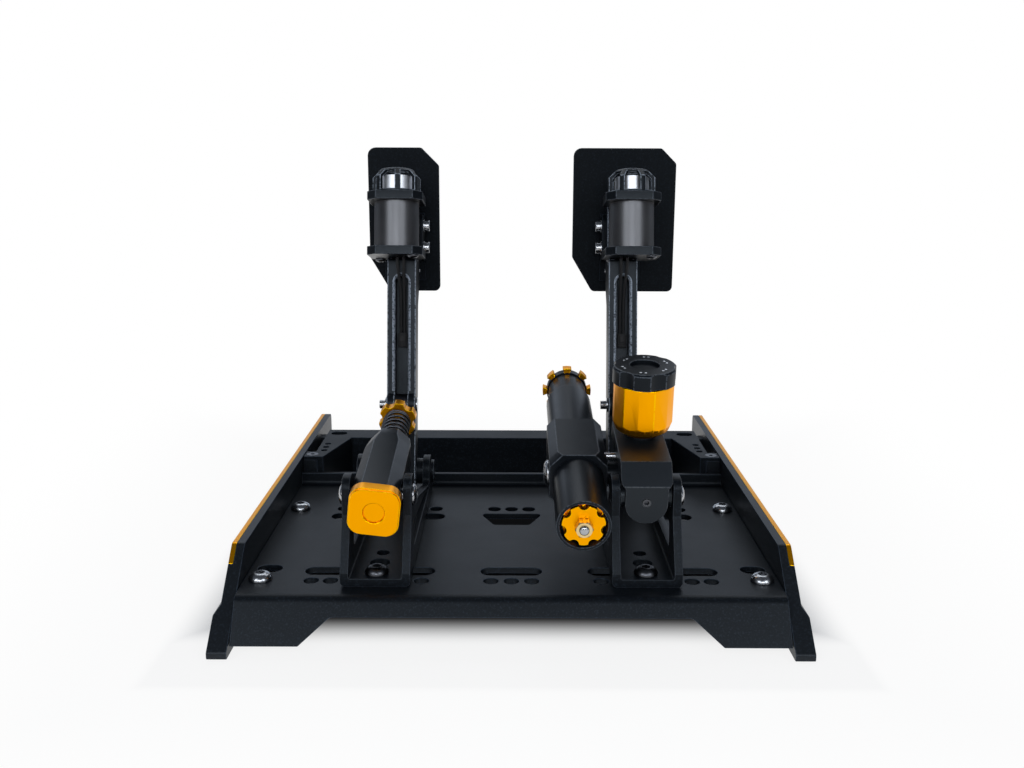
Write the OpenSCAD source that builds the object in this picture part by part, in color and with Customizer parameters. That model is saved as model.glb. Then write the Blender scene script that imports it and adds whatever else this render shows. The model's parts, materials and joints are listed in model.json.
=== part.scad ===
// Sim racing pedal set: a low steel base with a throttle unit and a hydraulic brake unit.
// Millimetres. X runs across the base, Y from the cylinders to the driver, Z up.
// The origin lies on the floor under the middle of the side plates.

/* [Base frame] */
// Clear width between the side plates
inner_w = 316; // [310:1:330]
// Length of a side plate along the floor
side_len = 362; // [356:1:400]
// Thickness of a side plate
side_t = 8; // [7:0.5:10]
// Height of a side plate's top edge over the floor
side_top = 49.5; // [48:0.5:54]
// How far the near end of a side plate slants back
near_run = 53; // [40:1:60]
// Height of the upright toe at a side plate's near end
side_toe = 4; // [3:0.5:6]
// How far the foot of a side plate steps outwards
foot_step = 3.5; // [2:0.5:6]
// Height of the foot step's outer edge
foot_h = 19.5; // [14:0.5:21]
// Height of the slope on the foot step
foot_slope = 4.5; // [4:0.5:8]
// Thickness of a foot pad
pad_t = 3; // [2.5:0.5:4]
// How far a foot pad is let into its side plate
pad_sink = 2; // [1:0.5:2]
// Length of a foot pad
pad_len = 70; // [40:1:90]
// Thickness of the trim strip
trim_t = 3; // [2:0.5:4]
// Height of the trim strip
trim_h = 9; // [8:0.5:12]

/* [Deck] */
// Thickness of the deck sheet
deck_t = 4; // [3:0.5:5]
// Height of the deck's top face over the floor
deck_top = 30; // [28:0.5:32]
// Corner of the near bend
deck_near = -160; // [-163:0.5:-156]
// Far face of the upturned lip
deck_far = 47; // [44:0.5:49]
// Height of the far lip over the deck
lip_h = 8.5; // [6:0.5:10]
// Inner radius of the bends
bend_r = 3; // [2:0.5:4]
// Slope of the near apron away from upright, in degrees
apron_tilt = 34; // [20:1:42]
// Height of the apron's feet over the floor
apron_low = 6.5; // [5:0.5:10]
// Height of the apron's middle edge over the floor
apron_mid = 20; // [16:0.5:22]
// Width of the apron's cut-out at its upper edge
apron_cut_top = 205; // [180:1:215]
// Width of the apron's cut-out at its lower edge
apron_cut_low = 239; // [225:1:250]

/* [Deck pattern] */
// Row of the near slots
near_slots_y = -123; // [-125:0.5:-121]
// Row of the near holes
near_holes_y = -137.5; // [-139:0.5:-136]
// Row of the far slots
far_slots_y = -27; // [-29:0.5:-25]
// Row of the far holes
far_holes_y = -11.5; // [-13:0.5:-9]
// Width of a slot
slot_w = 12; // [9:0.5:13]
// Length of the middle slot
mid_slot_len = 37; // [30:1:44]
// Length of a side slot
side_slot_len = 78; // [60:1:82]
// Middle of a side slot from the centre line
side_slot_x = 85; // [83:0.5:87]
// Bolt hole diameter in the deck
hole_d = 9; // [8.5:0.1:9.5]
// Distance between neighbouring holes of the middle group
mid_pitch = 12; // [11:0.5:14]
// Deck bolts' distance from a side plate
bolt_inset = 10; // [9:0.5:12]
// Near deck bolts
near_bolt_y = -136; // [-138:0.5:-135]
// Far deck bolts
far_bolt_y = -12; // [-16:0.5:-8]
// Rig slots' distance from a side plate
rig_inset = 12; // [12:0.5:14]
// Rig slots
rig_slot_y = -119.5; // [-120:0.5:-116]
// Length of a rig slot
rig_slot_len = 15; // [14:0.5:20]
// Width of a rig slot
rig_slot_w = 11; // [9:0.5:12]
// Near edge of the cable cut-out
cable_near_y = -43; // [-46:0.5:-40]
// Far edge of the cable cut-out
cable_far_y = -21; // [-24:0.5:-20]
// Width of the cable cut-out at its near edge
cable_near_w = 24; // [18:1:30]
// Width of the cable cut-out at its far edge
cable_far_w = 43; // [36:1:50]

/* [Crossbar] */
// Crossbar sheet thickness
bar_t = 3; // [2.5:0.5:4]
// How far the crossbar's top lies under the side plates' top
bar_drop = 0.5; // [0:0.5:2]
// Distance of the crossbar's far edge from the side plates' far end
bar_inset = 52; // [50:0.5:54]
// Depth of the crossbar's middle
bar_depth = 24; // [22:0.5:26]
// Length of the crossbar's arms
bar_arm_len = 53; // [50:0.5:54]
// Gap between the crossbar's arms and a side plate
bar_gap = 7.5; // [5:0.5:9]
// Length of the tabs that bridge the gap
tab_len = 13; // [12:0.5:15]
// Inner corner of an arm at its near end, from a side plate
arm_near_in = 15; // [14:0.5:18]
// Inner corner of an arm at the middle, from a side plate
arm_mid_in = 29; // [27:0.5:34]
// Height of the crossbar's walls
bar_wall = 34; // [30:0.5:38]
// Oval holes' distance from a side plate
oval_inset = 17; // [16.5:0.5:18]
// Oval holes' distance from the crossbar's far edge
oval_back = 11; // [10:0.5:13]
// Length of an oval hole
oval_len = 13; // [11:0.5:14]
// Width of an oval hole
oval_w = 9; // [7:0.5:10]
// Small holes' diameter
pin_hole_d = 5; // [3:0.5:5]

/* [Bracket] */
// Distance of a pedal unit from the centre line
unit_x = 79; // [78:0.5:82]
// Outer width of a bracket
bracket_w = 41; // [39:0.5:42]
// Bracket sheet thickness
bracket_t = 5; // [4:0.5:5.5]
// Near end of a bracket
bracket_near = -147; // [-149:0.5:-145]
// Far end of a bracket
bracket_far = 30; // [28:0.5:34]
// Height of the upright toe at the near end, over the deck
toe_h = 8; // [6:0.5:10]
// Trunnion of the cylinder, Y
trunnion_y = -122; // [-124:0.5:-120]
// Trunnion of the cylinder, Z
trunnion_z = 78; // [76:0.5:80]
// Radius of a trunnion lug
lug_r = 9.5; // [9:0.5:11]
// Height of a trunnion lug over its bolt
lug_top = 12.3; // [11:0.1:13]
// Pedal pivot, Y
pivot_y = 14; // [12:0.5:15]
// Pedal pivot, Z
pivot_z = 50; // [49:0.5:53]
// Radius of the bracket round the pivot
hub_r = 11; // [10.5:0.5:12]
// Height of the bracket's low far end over the deck
heel_h = 14; // [10:0.5:16]
// Width of the rails round a bracket's window
rail_w = 10; // [8:0.5:11]
// Large floor hole
floor_hole_d = 12; // [9:0.5:13]
// Small floor hole
floor_pin_d = 8; // [5:0.5:8]
// Small floor hole's row
floor_pin_y = -106; // [-107:0.5:-103]

/* [Arm] */
// Lean of an arm towards the driver, in degrees
arm_lean = 12.6; // [11.5:0.1:14]
// Width of an arm
arm_w = 20.5; // [20:0.5:23]
// Depth of an arm
arm_d = 19; // [18:0.5:20]
// Width of the arm's channel
channel_w = 9; // [8.8:0.1:10]
// Depth of the arm's channel
channel_d = 12; // [11.5:0.5:13]
// Chamfer along the channel's rims
channel_rim = 1.2; // [0.6:0.1:1.5]
// Upper end of the channel, from the pivot
channel_top = 140; // [130:0.5:142]
// Clevis pin's distance from the pivot
pin_r = 48; // [46:0.5:50]
// Clevis pin in front of the arm's centre line
pin_n = 6; // [5:0.5:6.5]
// Clevis pin diameter
pin_d = 8; // [7:0.5:8]
// Length of the clevis pin's free end
pin_stub = 5.4; // [4:0.2:6]
// Motor seat's distance from the pivot
seat_s = 152.3; // [150:0.1:154]
// Depth of the upper leg
leg_d = 17; // [16:0.5:18]
// Upper end of the leg, from the pivot
leg_top = 192; // [190:0.5:196]
// Axle diameter
axle_d = 10; // [9:0.5:10]

/* [Motor] */
// Motor axis in front of the arm's centre line
motor_n = 16.7; // [16:0.1:17.5]
// Throttle motor's offset outwards
throttle_motor_x = 2.8; // [0:0.1:4]
// Brake motor's offset outwards
brake_motor_x = 5; // [0:0.1:5.5]
// Width of a motor flange
flange_w = 38.6; // [38:0.2:40]
// Thickness of a motor flange
flange_t = 6; // [5.8:0.1:7]
// Corner cut of a motor flange
flange_cut = 6.5; // [5:0.5:7]
// Motor can diameter
can_d = 31.4; // [30.6:0.2:32.4]
// Motor can height
can_h = 32.2; // [30:0.2:35]
// Cage diameter
cage_d = 34; // [33:0.5:35]
// Cage height
cage_h = 17; // [16:0.2:19]
// Cage wall
cage_wall = 2.6; // [2:0.2:3]
// Width of a cage post
post_w = 4; // [3:0.2:4.4]
// Radius of the eccentric mass
mass_r = 11.8; // [10:0.2:12.4]
// Height of the eccentric mass
mass_h = 11; // [8:0.5:11.5]

/* [Pedal plate] */
// Plate thickness
plate_t = 4; // [3:0.5:5]
// Plate height
plate_h = 106; // [102:1:110]
// Throttle plate width
throttle_plate_w = 52.4; // [50:0.2:58]
// Brake plate width
brake_plate_w = 75.8; // [72:0.2:80]
// Throttle plate's offset outwards
throttle_plate_x = 1.8; // [0:0.1:4]
// Brake plate's offset outwards
brake_plate_x = 3.9; // [0:0.1:6]
// Plate's reference height, from the pivot
plate_mid = 173.5; // [172:0.5:175]
// Near face of the plate behind the arm's centre line, at that height
plate_back = 28.8; // [28.6:0.1:30]
// Tilt of the plate against the arm, in degrees
plate_tilt = 12.6; // [11:0.1:14]
// Plate's lower edge under its reference height
plate_low = 41.5; // [40:0.5:44]
// Corner cut at the throttle plate's upper right
throttle_plate_cut = 13; // [8:0.5:14]
// Corner cut at the brake plate's upper right
brake_plate_cut = 11; // [8:0.5:14]
// Width of the lower left corner cut
plate_slant_w = 15; // [12:0.5:18]
// Height of the lower left corner cut
plate_slant_h = 25.5; // [20:0.5:30]
// Corner radius of the plate
plate_r = 4; // [3:0.5:5]
// Thickness of the plate mount
mount_t = 3.5; // [3:0.5:3.5]

/* [Throttle cylinder] */
// Width of the square tube
tube_w = 28.4; // [27:0.2:29]
// Corner cut of the square tube
tube_cut = 6.5; // [5:0.5:7.5]
// Tube length in front of the trunnion
tube_near = 15; // [13:0.5:17]
// Tube length behind the trunnion
tube_far = 70; // [66:0.5:74]
// Length of the tube's tapered end
taper_len = 30; // [24:1:34]
// Width of the tube's mouth
mouth_d = 25; // [24.5:0.5:26]
// Push rod diameter
rod_d = 8; // [7:0.5:8]
// Spring's outer diameter
spring_d = 19; // [17:0.5:19]
// Spring wire diameter
wire_d = 1.8; // [1.6:0.2:2.4]
// Turns of the spring
spring_turns = 10; // [7:1:11]
// Depth of the spring's seat in the tube
spring_seat = 20; // [16:0.5:22]
// Star nut's near face behind the trunnion
star_u = 111; // [109:0.5:113]
// Star nut diameter over its lobes
star_d = 26; // [24:0.2:27]
// Star nut thickness
star_t = 8; // [6:0.5:9]
// Width of the end knob
knob_w = 30; // [28:0.5:31]
// Thickness of the end knob
knob_t = 9; // [8:0.5:11]
// Corner radius of the end knob
knob_r = 8; // [6:0.5:9]
// Resting turn of the end knob, in degrees
knob_turn = 7; // [0:1:10]

/* [Brake cylinder] */
// Width of the master block's lower part
master_low_w = 25.2; // [24:0.2:26]
// Width of the master block's upper part
master_w = 30.2; // [29:0.2:30.4]
// Master block length in front of the trunnion
master_near = 10; // [9.5:0.5:12]
// Master block length behind the trunnion
master_far = 62; // [60:0.5:70]
// Height of the master block over its axis
master_top = 21.5; // [20:0.5:23]
// Slanted front edge of the master block
master_cut = 11.3; // [8:0.1:12]
// Length of the master block's nose
nose_len = 24; // [20:0.5:26]
// Master bore
master_bore = 16; // [15:0.5:16.5]
// Reservoir's distance behind the trunnion
res_u = 40.5; // [38:0.5:42]
// Reservoir's offset outwards
res_x = 1.4; // [0:0.1:2]
// Reservoir neck diameter
neck_d = 18; // [16:0.5:20]
// Reservoir neck height
neck_h = 2.4; // [2:0.2:5]
// Reservoir cup diameter
cup_d = 36; // [34:0.5:37]
// Reservoir cup height
cup_h = 33.2; // [30:0.2:35]
// Reservoir cup wall
cup_wall = 2.6; // [2.4:0.2:3]
// Reservoir cap diameter
cap_d = 39.4; // [39:0.2:41]
// Reservoir cap height
cap_h = 10.3; // [9:0.1:12]
// Slave barrel diameter
slave_d = 31.4; // [30.6:0.2:32]
// Slave barrel length in front of the trunnion
slave_near = 38.5; // [36:0.5:40]
// Slave barrel length behind the trunnion
slave_far = 143.5; // [140:0.5:148]
// Slave block width across its flats
block_w = 35.4; // [34.5:0.1:36]
// Corner cut of the slave block
block_cut = 5; // [4:0.5:7]
// Length of the bevels on the slave block's near corners
block_bevel = 5.5; // [4:0.5:7]
// Near face of the slave block behind the trunnion
block_near = 18; // [16:0.5:20]
// Far face of the slave block behind the trunnion
block_far = 75; // [70:0.5:80]
// Slave bore
slave_bore = 24; // [22:0.5:24]
// Diameter of the recess for the preload knob
recess_d = 27.4; // [27:0.2:28]
// Preload knob diameter
preload_d = 25; // [23:0.5:25.5]
// Preload knob thickness
preload_t = 7.5; // [6:0.5:8]
// Length of the far end collar
collar_len = 24.5; // [22:0.5:27]
// Far wheel diameter over its teeth
wheel_d = 35.6; // [34:0.2:37]
// Far wheel thickness
wheel_t = 7; // [6:0.5:9]
// Length of the elastomer stack
stack_len = 28; // [24:1:30]

/* [Fits] */
// Gap between pieces that move past each other
gap = 0.3; // [0.3:0.05:0.5]
// Radial clearance of a running fit
run_fit = 0.05; // [0.03:0.01:0.08]
// Radial clearance of a screwed or pressed seat
seat_fit = 0.02; // [0.01:0.01:0.04]
// Radial clearance of the push rods' eyes on the clevis pins
eye_play = 0.6; // [0.55:0.05:0.8]

/* [Hidden] */
$fn = 48;
black = "#2b2d31";
amber = "#f6a800";
silver = "#c9ccd0";
rubber = "#18191b";
steel = "#7d8188";

M8 = [8, 14, 4.4, 5];
M6 = [6, 10.5, 3.3, 4];
M5 = [5, 9.5, 2.8, 3];
M4 = [4, 7.6, 2.2, 2.5];
M5_cap = [5, 8.5, 3.8, 4];
M5_flush = [5, 9, 2, 3];
plug_screw = [8, 16, 3.2, 8];
m8_nut_af = 13;
m8_nut_h = 6.5;

half_w = inner_w / 2;
deck_low = deck_top - deck_t;
sole = pad_t - pad_sink;
pad_w = side_t + foot_step - 4;
pad_end = 3;
bar_top = side_top - bar_drop;
bar_far = side_len / 2 - bar_inset;
bar_mid = bar_far - bar_depth;
bar_near = bar_mid - bar_arm_len;
oval_y = bar_far - oval_back;
side_hole_offsets = [-26, -11.4, 0, 11.4, 27.4, 38.8];
small_hole_rows = [for (i = [0:2]) bar_near + 17 + 9 * i];
ledge_reach = 20;
ledge_h = 14;
ledge_len = 2 * (near_slots_y - near_bolt_y) - 9;
tab_ledge_y = bar_near + tab_len / 2;
tab_ledge_reach = 10;
bar_ledge_len = 11;
tab_screw_inset = 6;
far_ledge_reach = 16;
far_ledge_top = bar_top - 7;
far_screw_inset = 12;

face_gap = 0.05;
ear_r = 8.5;
channel_low = pin_r - 14;
rim_low = pin_r + ear_r + 2;
pin_y = pivot_y - pin_n * cos(arm_lean) + pin_r * sin(arm_lean);
pin_z = pivot_z + pin_n * sin(arm_lean) + pin_r * cos(arm_lean);
cyl_len = norm([pin_y - trunnion_y, pin_z - trunnion_z]);
cyl_tilt = atan2(pin_z - trunnion_z, pin_y - trunnion_y);
bracket_floor = deck_top + bracket_t;
bracket_in = bracket_w / 2 - bracket_t;
floor_hole_y = near_slots_y + 1.5;
master_top_w = min(master_w, 2 * (bracket_in - gap));
trunnion_d = 8;
trunnion_depth = 4.6;
trunnion_screw = [trunnion_d, 13, 2.6, 4];
leg_front = flange_w / 2 - motor_n + face_gap;
seat_screw_x = [-1, 7.4];
seat_screw_y = -6.3;
clamp_screws = [for (s = [-1, 1]) [s, -s] * 0.33 * flange_w];
shaft_d = 5;
shaft_hole = 12;
mass_hub_d = 10;
can_s = seat_s + flange_t;
seat_screw_h = flange_t - M4[2] - 0.2;
top_flange_s = can_s + can_h;
cage_s = top_flange_s + flange_t;
mount_screw_s = [seat_s + 10.3, seat_s + 26];
mount_screw_y = leg_front + leg_d / 2;
slave_dx = -(bracket_w / 2 + gap + block_w / 2);
taper_rise = 0.145 * tube_w / taper_len;
chamber_d = 14;
knob_shank = 8;
rod_end_u = 14;
piston_len = 14;
wheel_stub_d = 10;
tooth_gap = 7.2;
stud_d = 6;
nut_af = 10;
nut_t = 5;
wall_near = slave_near - preload_t - gap - 0.5;
wall_len = 8;
stack_u = wall_len - wall_near + gap;

// Points of a round corner at b, between the neighbours a and c
function corner(a, b, c, r, n) =
    let(p = (a - b) / norm(a - b), q = (c - b) / norm(c - b))
    let(open = acos(p * q), mid = b + (p + q) / norm(p + q) * r / sin(open / 2))
    let(from = b + p * r / tan(open / 2) - mid, way = sign(cross(c - b, a - b)))
    [for (i = [0:n]) let(t = way * (180 - open) * i / n)
        mid + [from[0] * cos(t) - from[1] * sin(t), from[0] * sin(t) + from[1] * cos(t)]];

// Outline with each corner rounded by its own radius, or left sharp at radius 0
function rounded(pts, radii, n = 5) =
    [for (i = [0:len(pts) - 1])
        let(a = pts[(i + len(pts) - 1) % len(pts)], b = pts[i], c = pts[(i + 1) % len(pts)])
        let(r = is_list(radii) ? radii[i] : radii)
        each (r > 0 ? corner(a, b, c, r, n) : [b])];

function box_pts(w, h) = [[-w / 2, -h / 2], [w / 2, -h / 2], [w / 2, h / 2], [-w / 2, h / 2]];

function cut_box(w, h, cut) = [
    [-w / 2 + cut, -h / 2], [w / 2 - cut, -h / 2], [w / 2, -h / 2 + cut], [w / 2, h / 2 - cut],
    [w / 2 - cut, h / 2], [-w / 2 + cut, h / 2], [-w / 2, h / 2 - cut], [-w / 2, -h / 2 + cut]];

// Extrude an outline drawn in Y and Z from x0 to x1
module plate_x(x0, x1) {
    translate([x0, 0, 0]) rotate([90, 0, 90]) linear_extrude(x1 - x0) children();
}

// Extrude an outline drawn in X and Z from y0 to y1
module prism_y(y0, y1) {
    translate([0, y1, 0]) rotate([90, 0, 0]) linear_extrude(y1 - y0) children();
}

module round_y(d, y0, y1) {
    translate([0, y0, 0]) rotate([-90, 0, 0]) cylinder(d = d, h = y1 - y0);
}

module round_x(d, x0, x1) {
    translate([x0, 0, 0]) rotate([0, 90, 0]) cylinder(d = d, h = x1 - x0);
}

// Slab across Y, turned about Y, whose half thickness goes from near_h to far_h
module taper_slab(turn, near, far, near_h, far_h, w) {
    rotate([0, turn, 0]) plate_x(-w, w)
        polygon([[near, -near_h], [far, -far_h], [far, far_h], [near, near_h]]);
}

// Upright cutter for a slot along X, through everything from z0 to z1
module slot(l, w, z0, z1) {
    translate([0, 0, z0]) {
        translate([-(l - w) / 2, -w / 2, 0]) cube([l - w, w, z1 - z0]);
        for (s = [-1, 1]) translate([s * (l - w) / 2, 0, 0]) cylinder(d = w, h = z1 - z0);
    }
}

// Button-head screw: the head stands on Z = 0 and the shank runs down
module button_screw(size, l) {
    d = size[0];
    r = size[1] / 2;
    h = size[2];
    difference() {
        union() {
            translate([0, 0, -l]) cylinder(d = d, h = l + h / 2);
            rotate_extrude() polygon([[0, 0], [r, 0], [r, 0.25 * h], [0.9 * r, 0.6 * h],
                [0.68 * r, 0.88 * h], [0.45 * r, h], [0, h]]);
        }
        translate([0, 0, h * 0.45]) cylinder(d = size[3] / cos(30), h = h, $fn = 6);
    }
}

// Socket-head screw on a washer that lies on Z = 0
module cap_screw(size, l) {
    r = size[1] / 2;
    h = size[2];
    washer = 0.8;
    edge = 0.6;
    difference() {
        union() {
            translate([0, 0, -l]) cylinder(d = size[0], h = l + washer);
            cylinder(r = r + washer, h = washer);
            rotate_extrude() polygon([[0, washer / 2], [r, washer / 2], [r, washer + h - edge],
                [r - edge, washer + h], [0, washer + h]]);
        }
        translate([0, 0, washer + h * 0.45]) cylinder(d = size[3] / cos(30), h = h, $fn = 6);
    }
}

// Flat-head screw let in flush under Z = 0, with the shank running down
module flush_screw(size, l) {
    h = size[2];
    difference() {
        union() {
            translate([0, 0, -h]) cylinder(d = size[1], h = h);
            translate([0, 0, -l]) cylinder(d = size[0], h = l - h / 2);
        }
        translate([0, 0, -h * 0.6]) cylinder(d = size[3] / cos(30), h = h, $fn = 6);
    }
}

module at_unit(side) translate([side * unit_x, 0, 0]) children();

// Frame of an arm: Z along the arm from the pivot, Y towards the driver
module at_arm(side) translate([side * unit_x, pivot_y, pivot_z]) rotate([-arm_lean, 0, 0]) children();

// Frame of a cylinder: Y along its axis from the trunnion
module at_cylinder(side)
    translate([side * unit_x, trunnion_y, trunnion_z]) rotate([cyl_tilt, 0, 0]) children();

module at_slave() at_cylinder(1) translate([slave_dx, 0, 0]) children();

module deck_plate() color(black) {
    // Sheet's upper line from the apron's foot to the lip, then back along its underside
    drop = deck_top - apron_low;
    foot_y = deck_near - drop * tan(apron_tilt);
    turn = tan((90 - apron_tilt) / 2);
    upper = [[foot_y, apron_low], [deck_near, deck_top], [deck_far - deck_t, deck_top],
        [deck_far - deck_t, deck_top + lip_h]];
    lower = [[deck_far, deck_top + lip_h], [deck_far, deck_low], [deck_near + deck_t * turn, deck_low],
        [foot_y + deck_t / cos(apron_tilt), apron_low]];
    radii = [0, bend_r + deck_t, bend_r, 0, 0, bend_r + deck_t, bend_r, 0];
    below = 4;
    cut_low = apron_cut_low / 2 + below * (apron_cut_low - apron_cut_top) / 2 / (apron_mid - apron_low);
    difference() {
        plate_x(-half_w + gap, half_w - gap) polygon(rounded(concat(upper, lower), radii));
        prism_y(foot_y - 1, deck_near + 1 - bend_r) polygon(rounded([
            [-cut_low, apron_low - below], [cut_low, apron_low - below],
            [apron_cut_top / 2, apron_mid], [-apron_cut_top / 2, apron_mid]], [0, 0, 5, 5]));
        translate([0, near_slots_y, 0]) slot(mid_slot_len, slot_w, deck_low - 1, deck_top + 1);
        for (y = [near_slots_y, far_slots_y], s = [-1, 1])
            translate([s * side_slot_x, y, 0]) slot(side_slot_len, slot_w, deck_low - 1, deck_top + 1);
        for (y = [near_holes_y, far_holes_y]) {
            for (i = [-1:1])
                translate([i * mid_pitch, y, deck_low - 1]) cylinder(d = hole_d, h = deck_t + 2);
            for (s = [-1, 1], x = side_hole_offsets)
                translate([s * (unit_x + x), y, deck_low - 1]) cylinder(d = hole_d, h = deck_t + 2);
        }
        for (s = [-1, 1]) {
            translate([s * (half_w - rig_inset), rig_slot_y, 0])
                slot(rig_slot_len, rig_slot_w, deck_low - 1, deck_top + 1);
            for (y = [near_bolt_y, far_bolt_y])
                translate([s * (half_w - bolt_inset), y, deck_low - 1]) cylinder(d = hole_d, h = deck_t + 2);
        }
        translate([0, 0, deck_low - 1]) linear_extrude(deck_t + 2) polygon(rounded([
            [-cable_near_w / 2, cable_near_y], [cable_near_w / 2, cable_near_y],
            [cable_far_w / 2, cable_far_y], [-cable_far_w / 2, cable_far_y]], 3));
    }
}

// Side plate on the +X side: a wall with a stepped foot, cut to the slanted near end
module side_plate() {
    end = side_len / 2;
    out = half_w + side_t;
    difference() {
        union() {
            intersection() {
                prism_y(-end - 1, end + 1) polygon([
                    [half_w, sole], [out + foot_step, sole], [out + foot_step, foot_h],
                    [out, foot_h + foot_slope], [out, side_top], [half_w, side_top]]);
                plate_x(half_w - 1, out + foot_step + 1) polygon(rounded([
                    [-end, sole], [end, sole], [end, side_top], [-end + near_run, side_top],
                    [-end, sole + side_toe]], [1, 0, 3, 4, 2]));
            }
            for (y = [near_bolt_y, far_bolt_y])
                translate([half_w - ledge_reach, y - ledge_len / 2, deck_low - ledge_h])
                    cube([ledge_reach + 1, ledge_len, ledge_h]);
            translate([half_w - tab_ledge_reach, tab_ledge_y - bar_ledge_len / 2, bar_top - bar_t - ledge_h])
                cube([tab_ledge_reach + 1, bar_ledge_len, ledge_h]);
            translate([half_w - far_ledge_reach, bar_far, far_ledge_top - ledge_h])
                cube([far_ledge_reach + 1, bar_ledge_len, ledge_h]);
        }
        translate([0, 0, -1]) linear_extrude(1 + pad_t + seat_fit) pad_outlines(2 * seat_fit);
        translate([out - trim_t, -end, side_top - trim_h]) cube([trim_t + 1, side_len + 1, trim_h + 1]);
        for (y = [near_bolt_y, far_bolt_y])
            translate([half_w - bolt_inset, y, 0]) cylinder(d = M8[0] + 2 * seat_fit, h = deck_top);
        translate([half_w - tab_screw_inset, tab_ledge_y, bar_top - bar_t - ledge_h - 1])
            cylinder(d = M5[0] + 2 * seat_fit, h = ledge_h + 2);
        translate([half_w - far_screw_inset, 0, far_ledge_top - ledge_h / 2])
            round_y(M5[0] + 2 * seat_fit, bar_far - 1, bar_far + bar_ledge_len + 1);
    }
}

module left_side_plate() color(black) mirror([1, 0, 0]) side_plate();
module right_side_plate() color(black) side_plate();

// Trim strip let into the outer upper edge of the +X side plate
module trim_strip() {
    end = side_len / 2;
    out = half_w + side_t;
    slant = near_run / (side_top - sole - side_toe);
    plate_x(out - trim_t, out) polygon(rounded([
        [-end + near_run - trim_h * slant, side_top - trim_h], [end, side_top - trim_h],
        [end, side_top], [-end + near_run, side_top]], [0, 0, 3, 4]));
}

module trim_strips() color(amber) for (s = [-1, 1]) mirror([s < 0 ? 1 : 0, 0, 0]) trim_strip();

module foot_pads() color(rubber)
    for (s = [-1, 1]) mirror([s < 0 ? 1 : 0, 0, 0]) linear_extrude(pad_t) pad_outlines(0);

// Outlines of the two pads under the +X side plate
module pad_outlines(grow) {
    for (e = [-1, 1])
        translate([half_w + (side_t + foot_step) / 2, e * (side_len / 2 - pad_len / 2 - pad_end)])
            polygon(rounded(box_pts(pad_w + grow, pad_len + grow), 3));
}

module deck_bolts() color(silver) {
    for (s = [-1, 1], y = [near_bolt_y, far_bolt_y])
        translate([s * (half_w - bolt_inset), y, deck_top]) button_screw(M8, deck_t + ledge_h - 2);
}

module front_crossbar() color(black) {
    low = bar_top - bar_t;
    edge = half_w - bar_gap;
    half = [[half_w - gap, bar_near], [half_w - gap, bar_near + tab_len], [edge, bar_near + tab_len],
        [edge, bar_far]];
    inner = [[half_w - arm_near_in, bar_near], [half_w - arm_mid_in, bar_mid]];
    top = concat([for (p = half) p], [for (i = [3:-1:0]) [-half[i][0], half[i][1]]],
        [[-inner[0][0], inner[0][1]], [-inner[1][0], inner[1][1]], inner[1], inner[0]]);
    difference() {
        union() {
            translate([0, 0, low]) linear_extrude(bar_t) polygon(top);
            translate([0, 0, bar_top - bar_wall]) linear_extrude(bar_wall - bar_t / 2) {
                translate([-inner[1][0] - bar_t, bar_mid]) square([2 * (inner[1][0] + bar_t), bar_t]);
                translate([-edge, bar_far - bar_t]) square([2 * edge, bar_t]);
                for (s = [-1, 1]) mirror([s < 0 ? 1 : 0, 0]) {
                    polygon([inner[0], inner[0] + [bar_t, 0], inner[1] + [bar_t, 0], inner[1]]);
                    translate([inner[0][0], bar_near])
                        square([half_w - tab_ledge_reach - gap - inner[0][0], bar_t]);
                }
            }
        }
        for (s = [-1, 1]) {
            translate([s * (half_w - oval_inset), oval_y, 0]) slot(oval_len, oval_w, low - 1, bar_top + 1);
            for (y = small_hole_rows)
                translate([s * (half_w - arm_near_in + 2), y, low - 1])
                    cylinder(d = pin_hole_d, h = bar_t + 2);
            translate([s * (half_w - tab_screw_inset), tab_ledge_y, low - 1])
                cylinder(d = M5[0] + 2 * gap, h = bar_t + 2);
            translate([s * (half_w - tab_screw_inset), tab_ledge_y, bar_top - M5_flush[2] - seat_fit])
                cylinder(d = M5_flush[1] + gap, h = bar_t);
            translate([s * (half_w - far_screw_inset), 0, far_ledge_top - ledge_h / 2])
                round_y(M5[0] + 2 * gap, bar_far - bar_t - 1, bar_far + 1);
        }
    }
}

module crossbar_screws() color(black) {
    for (s = [-1, 1]) {
        translate([s * (half_w - tab_screw_inset), tab_ledge_y, bar_top])
            flush_screw(M5_flush, bar_t + bar_ledge_len - 1);
        translate([s * (half_w - far_screw_inset), bar_far - bar_t, far_ledge_top - ledge_h / 2])
            rotate([90, 0, 0]) button_screw(M5, bar_t + bar_ledge_len - 1);
    }
}

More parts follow.
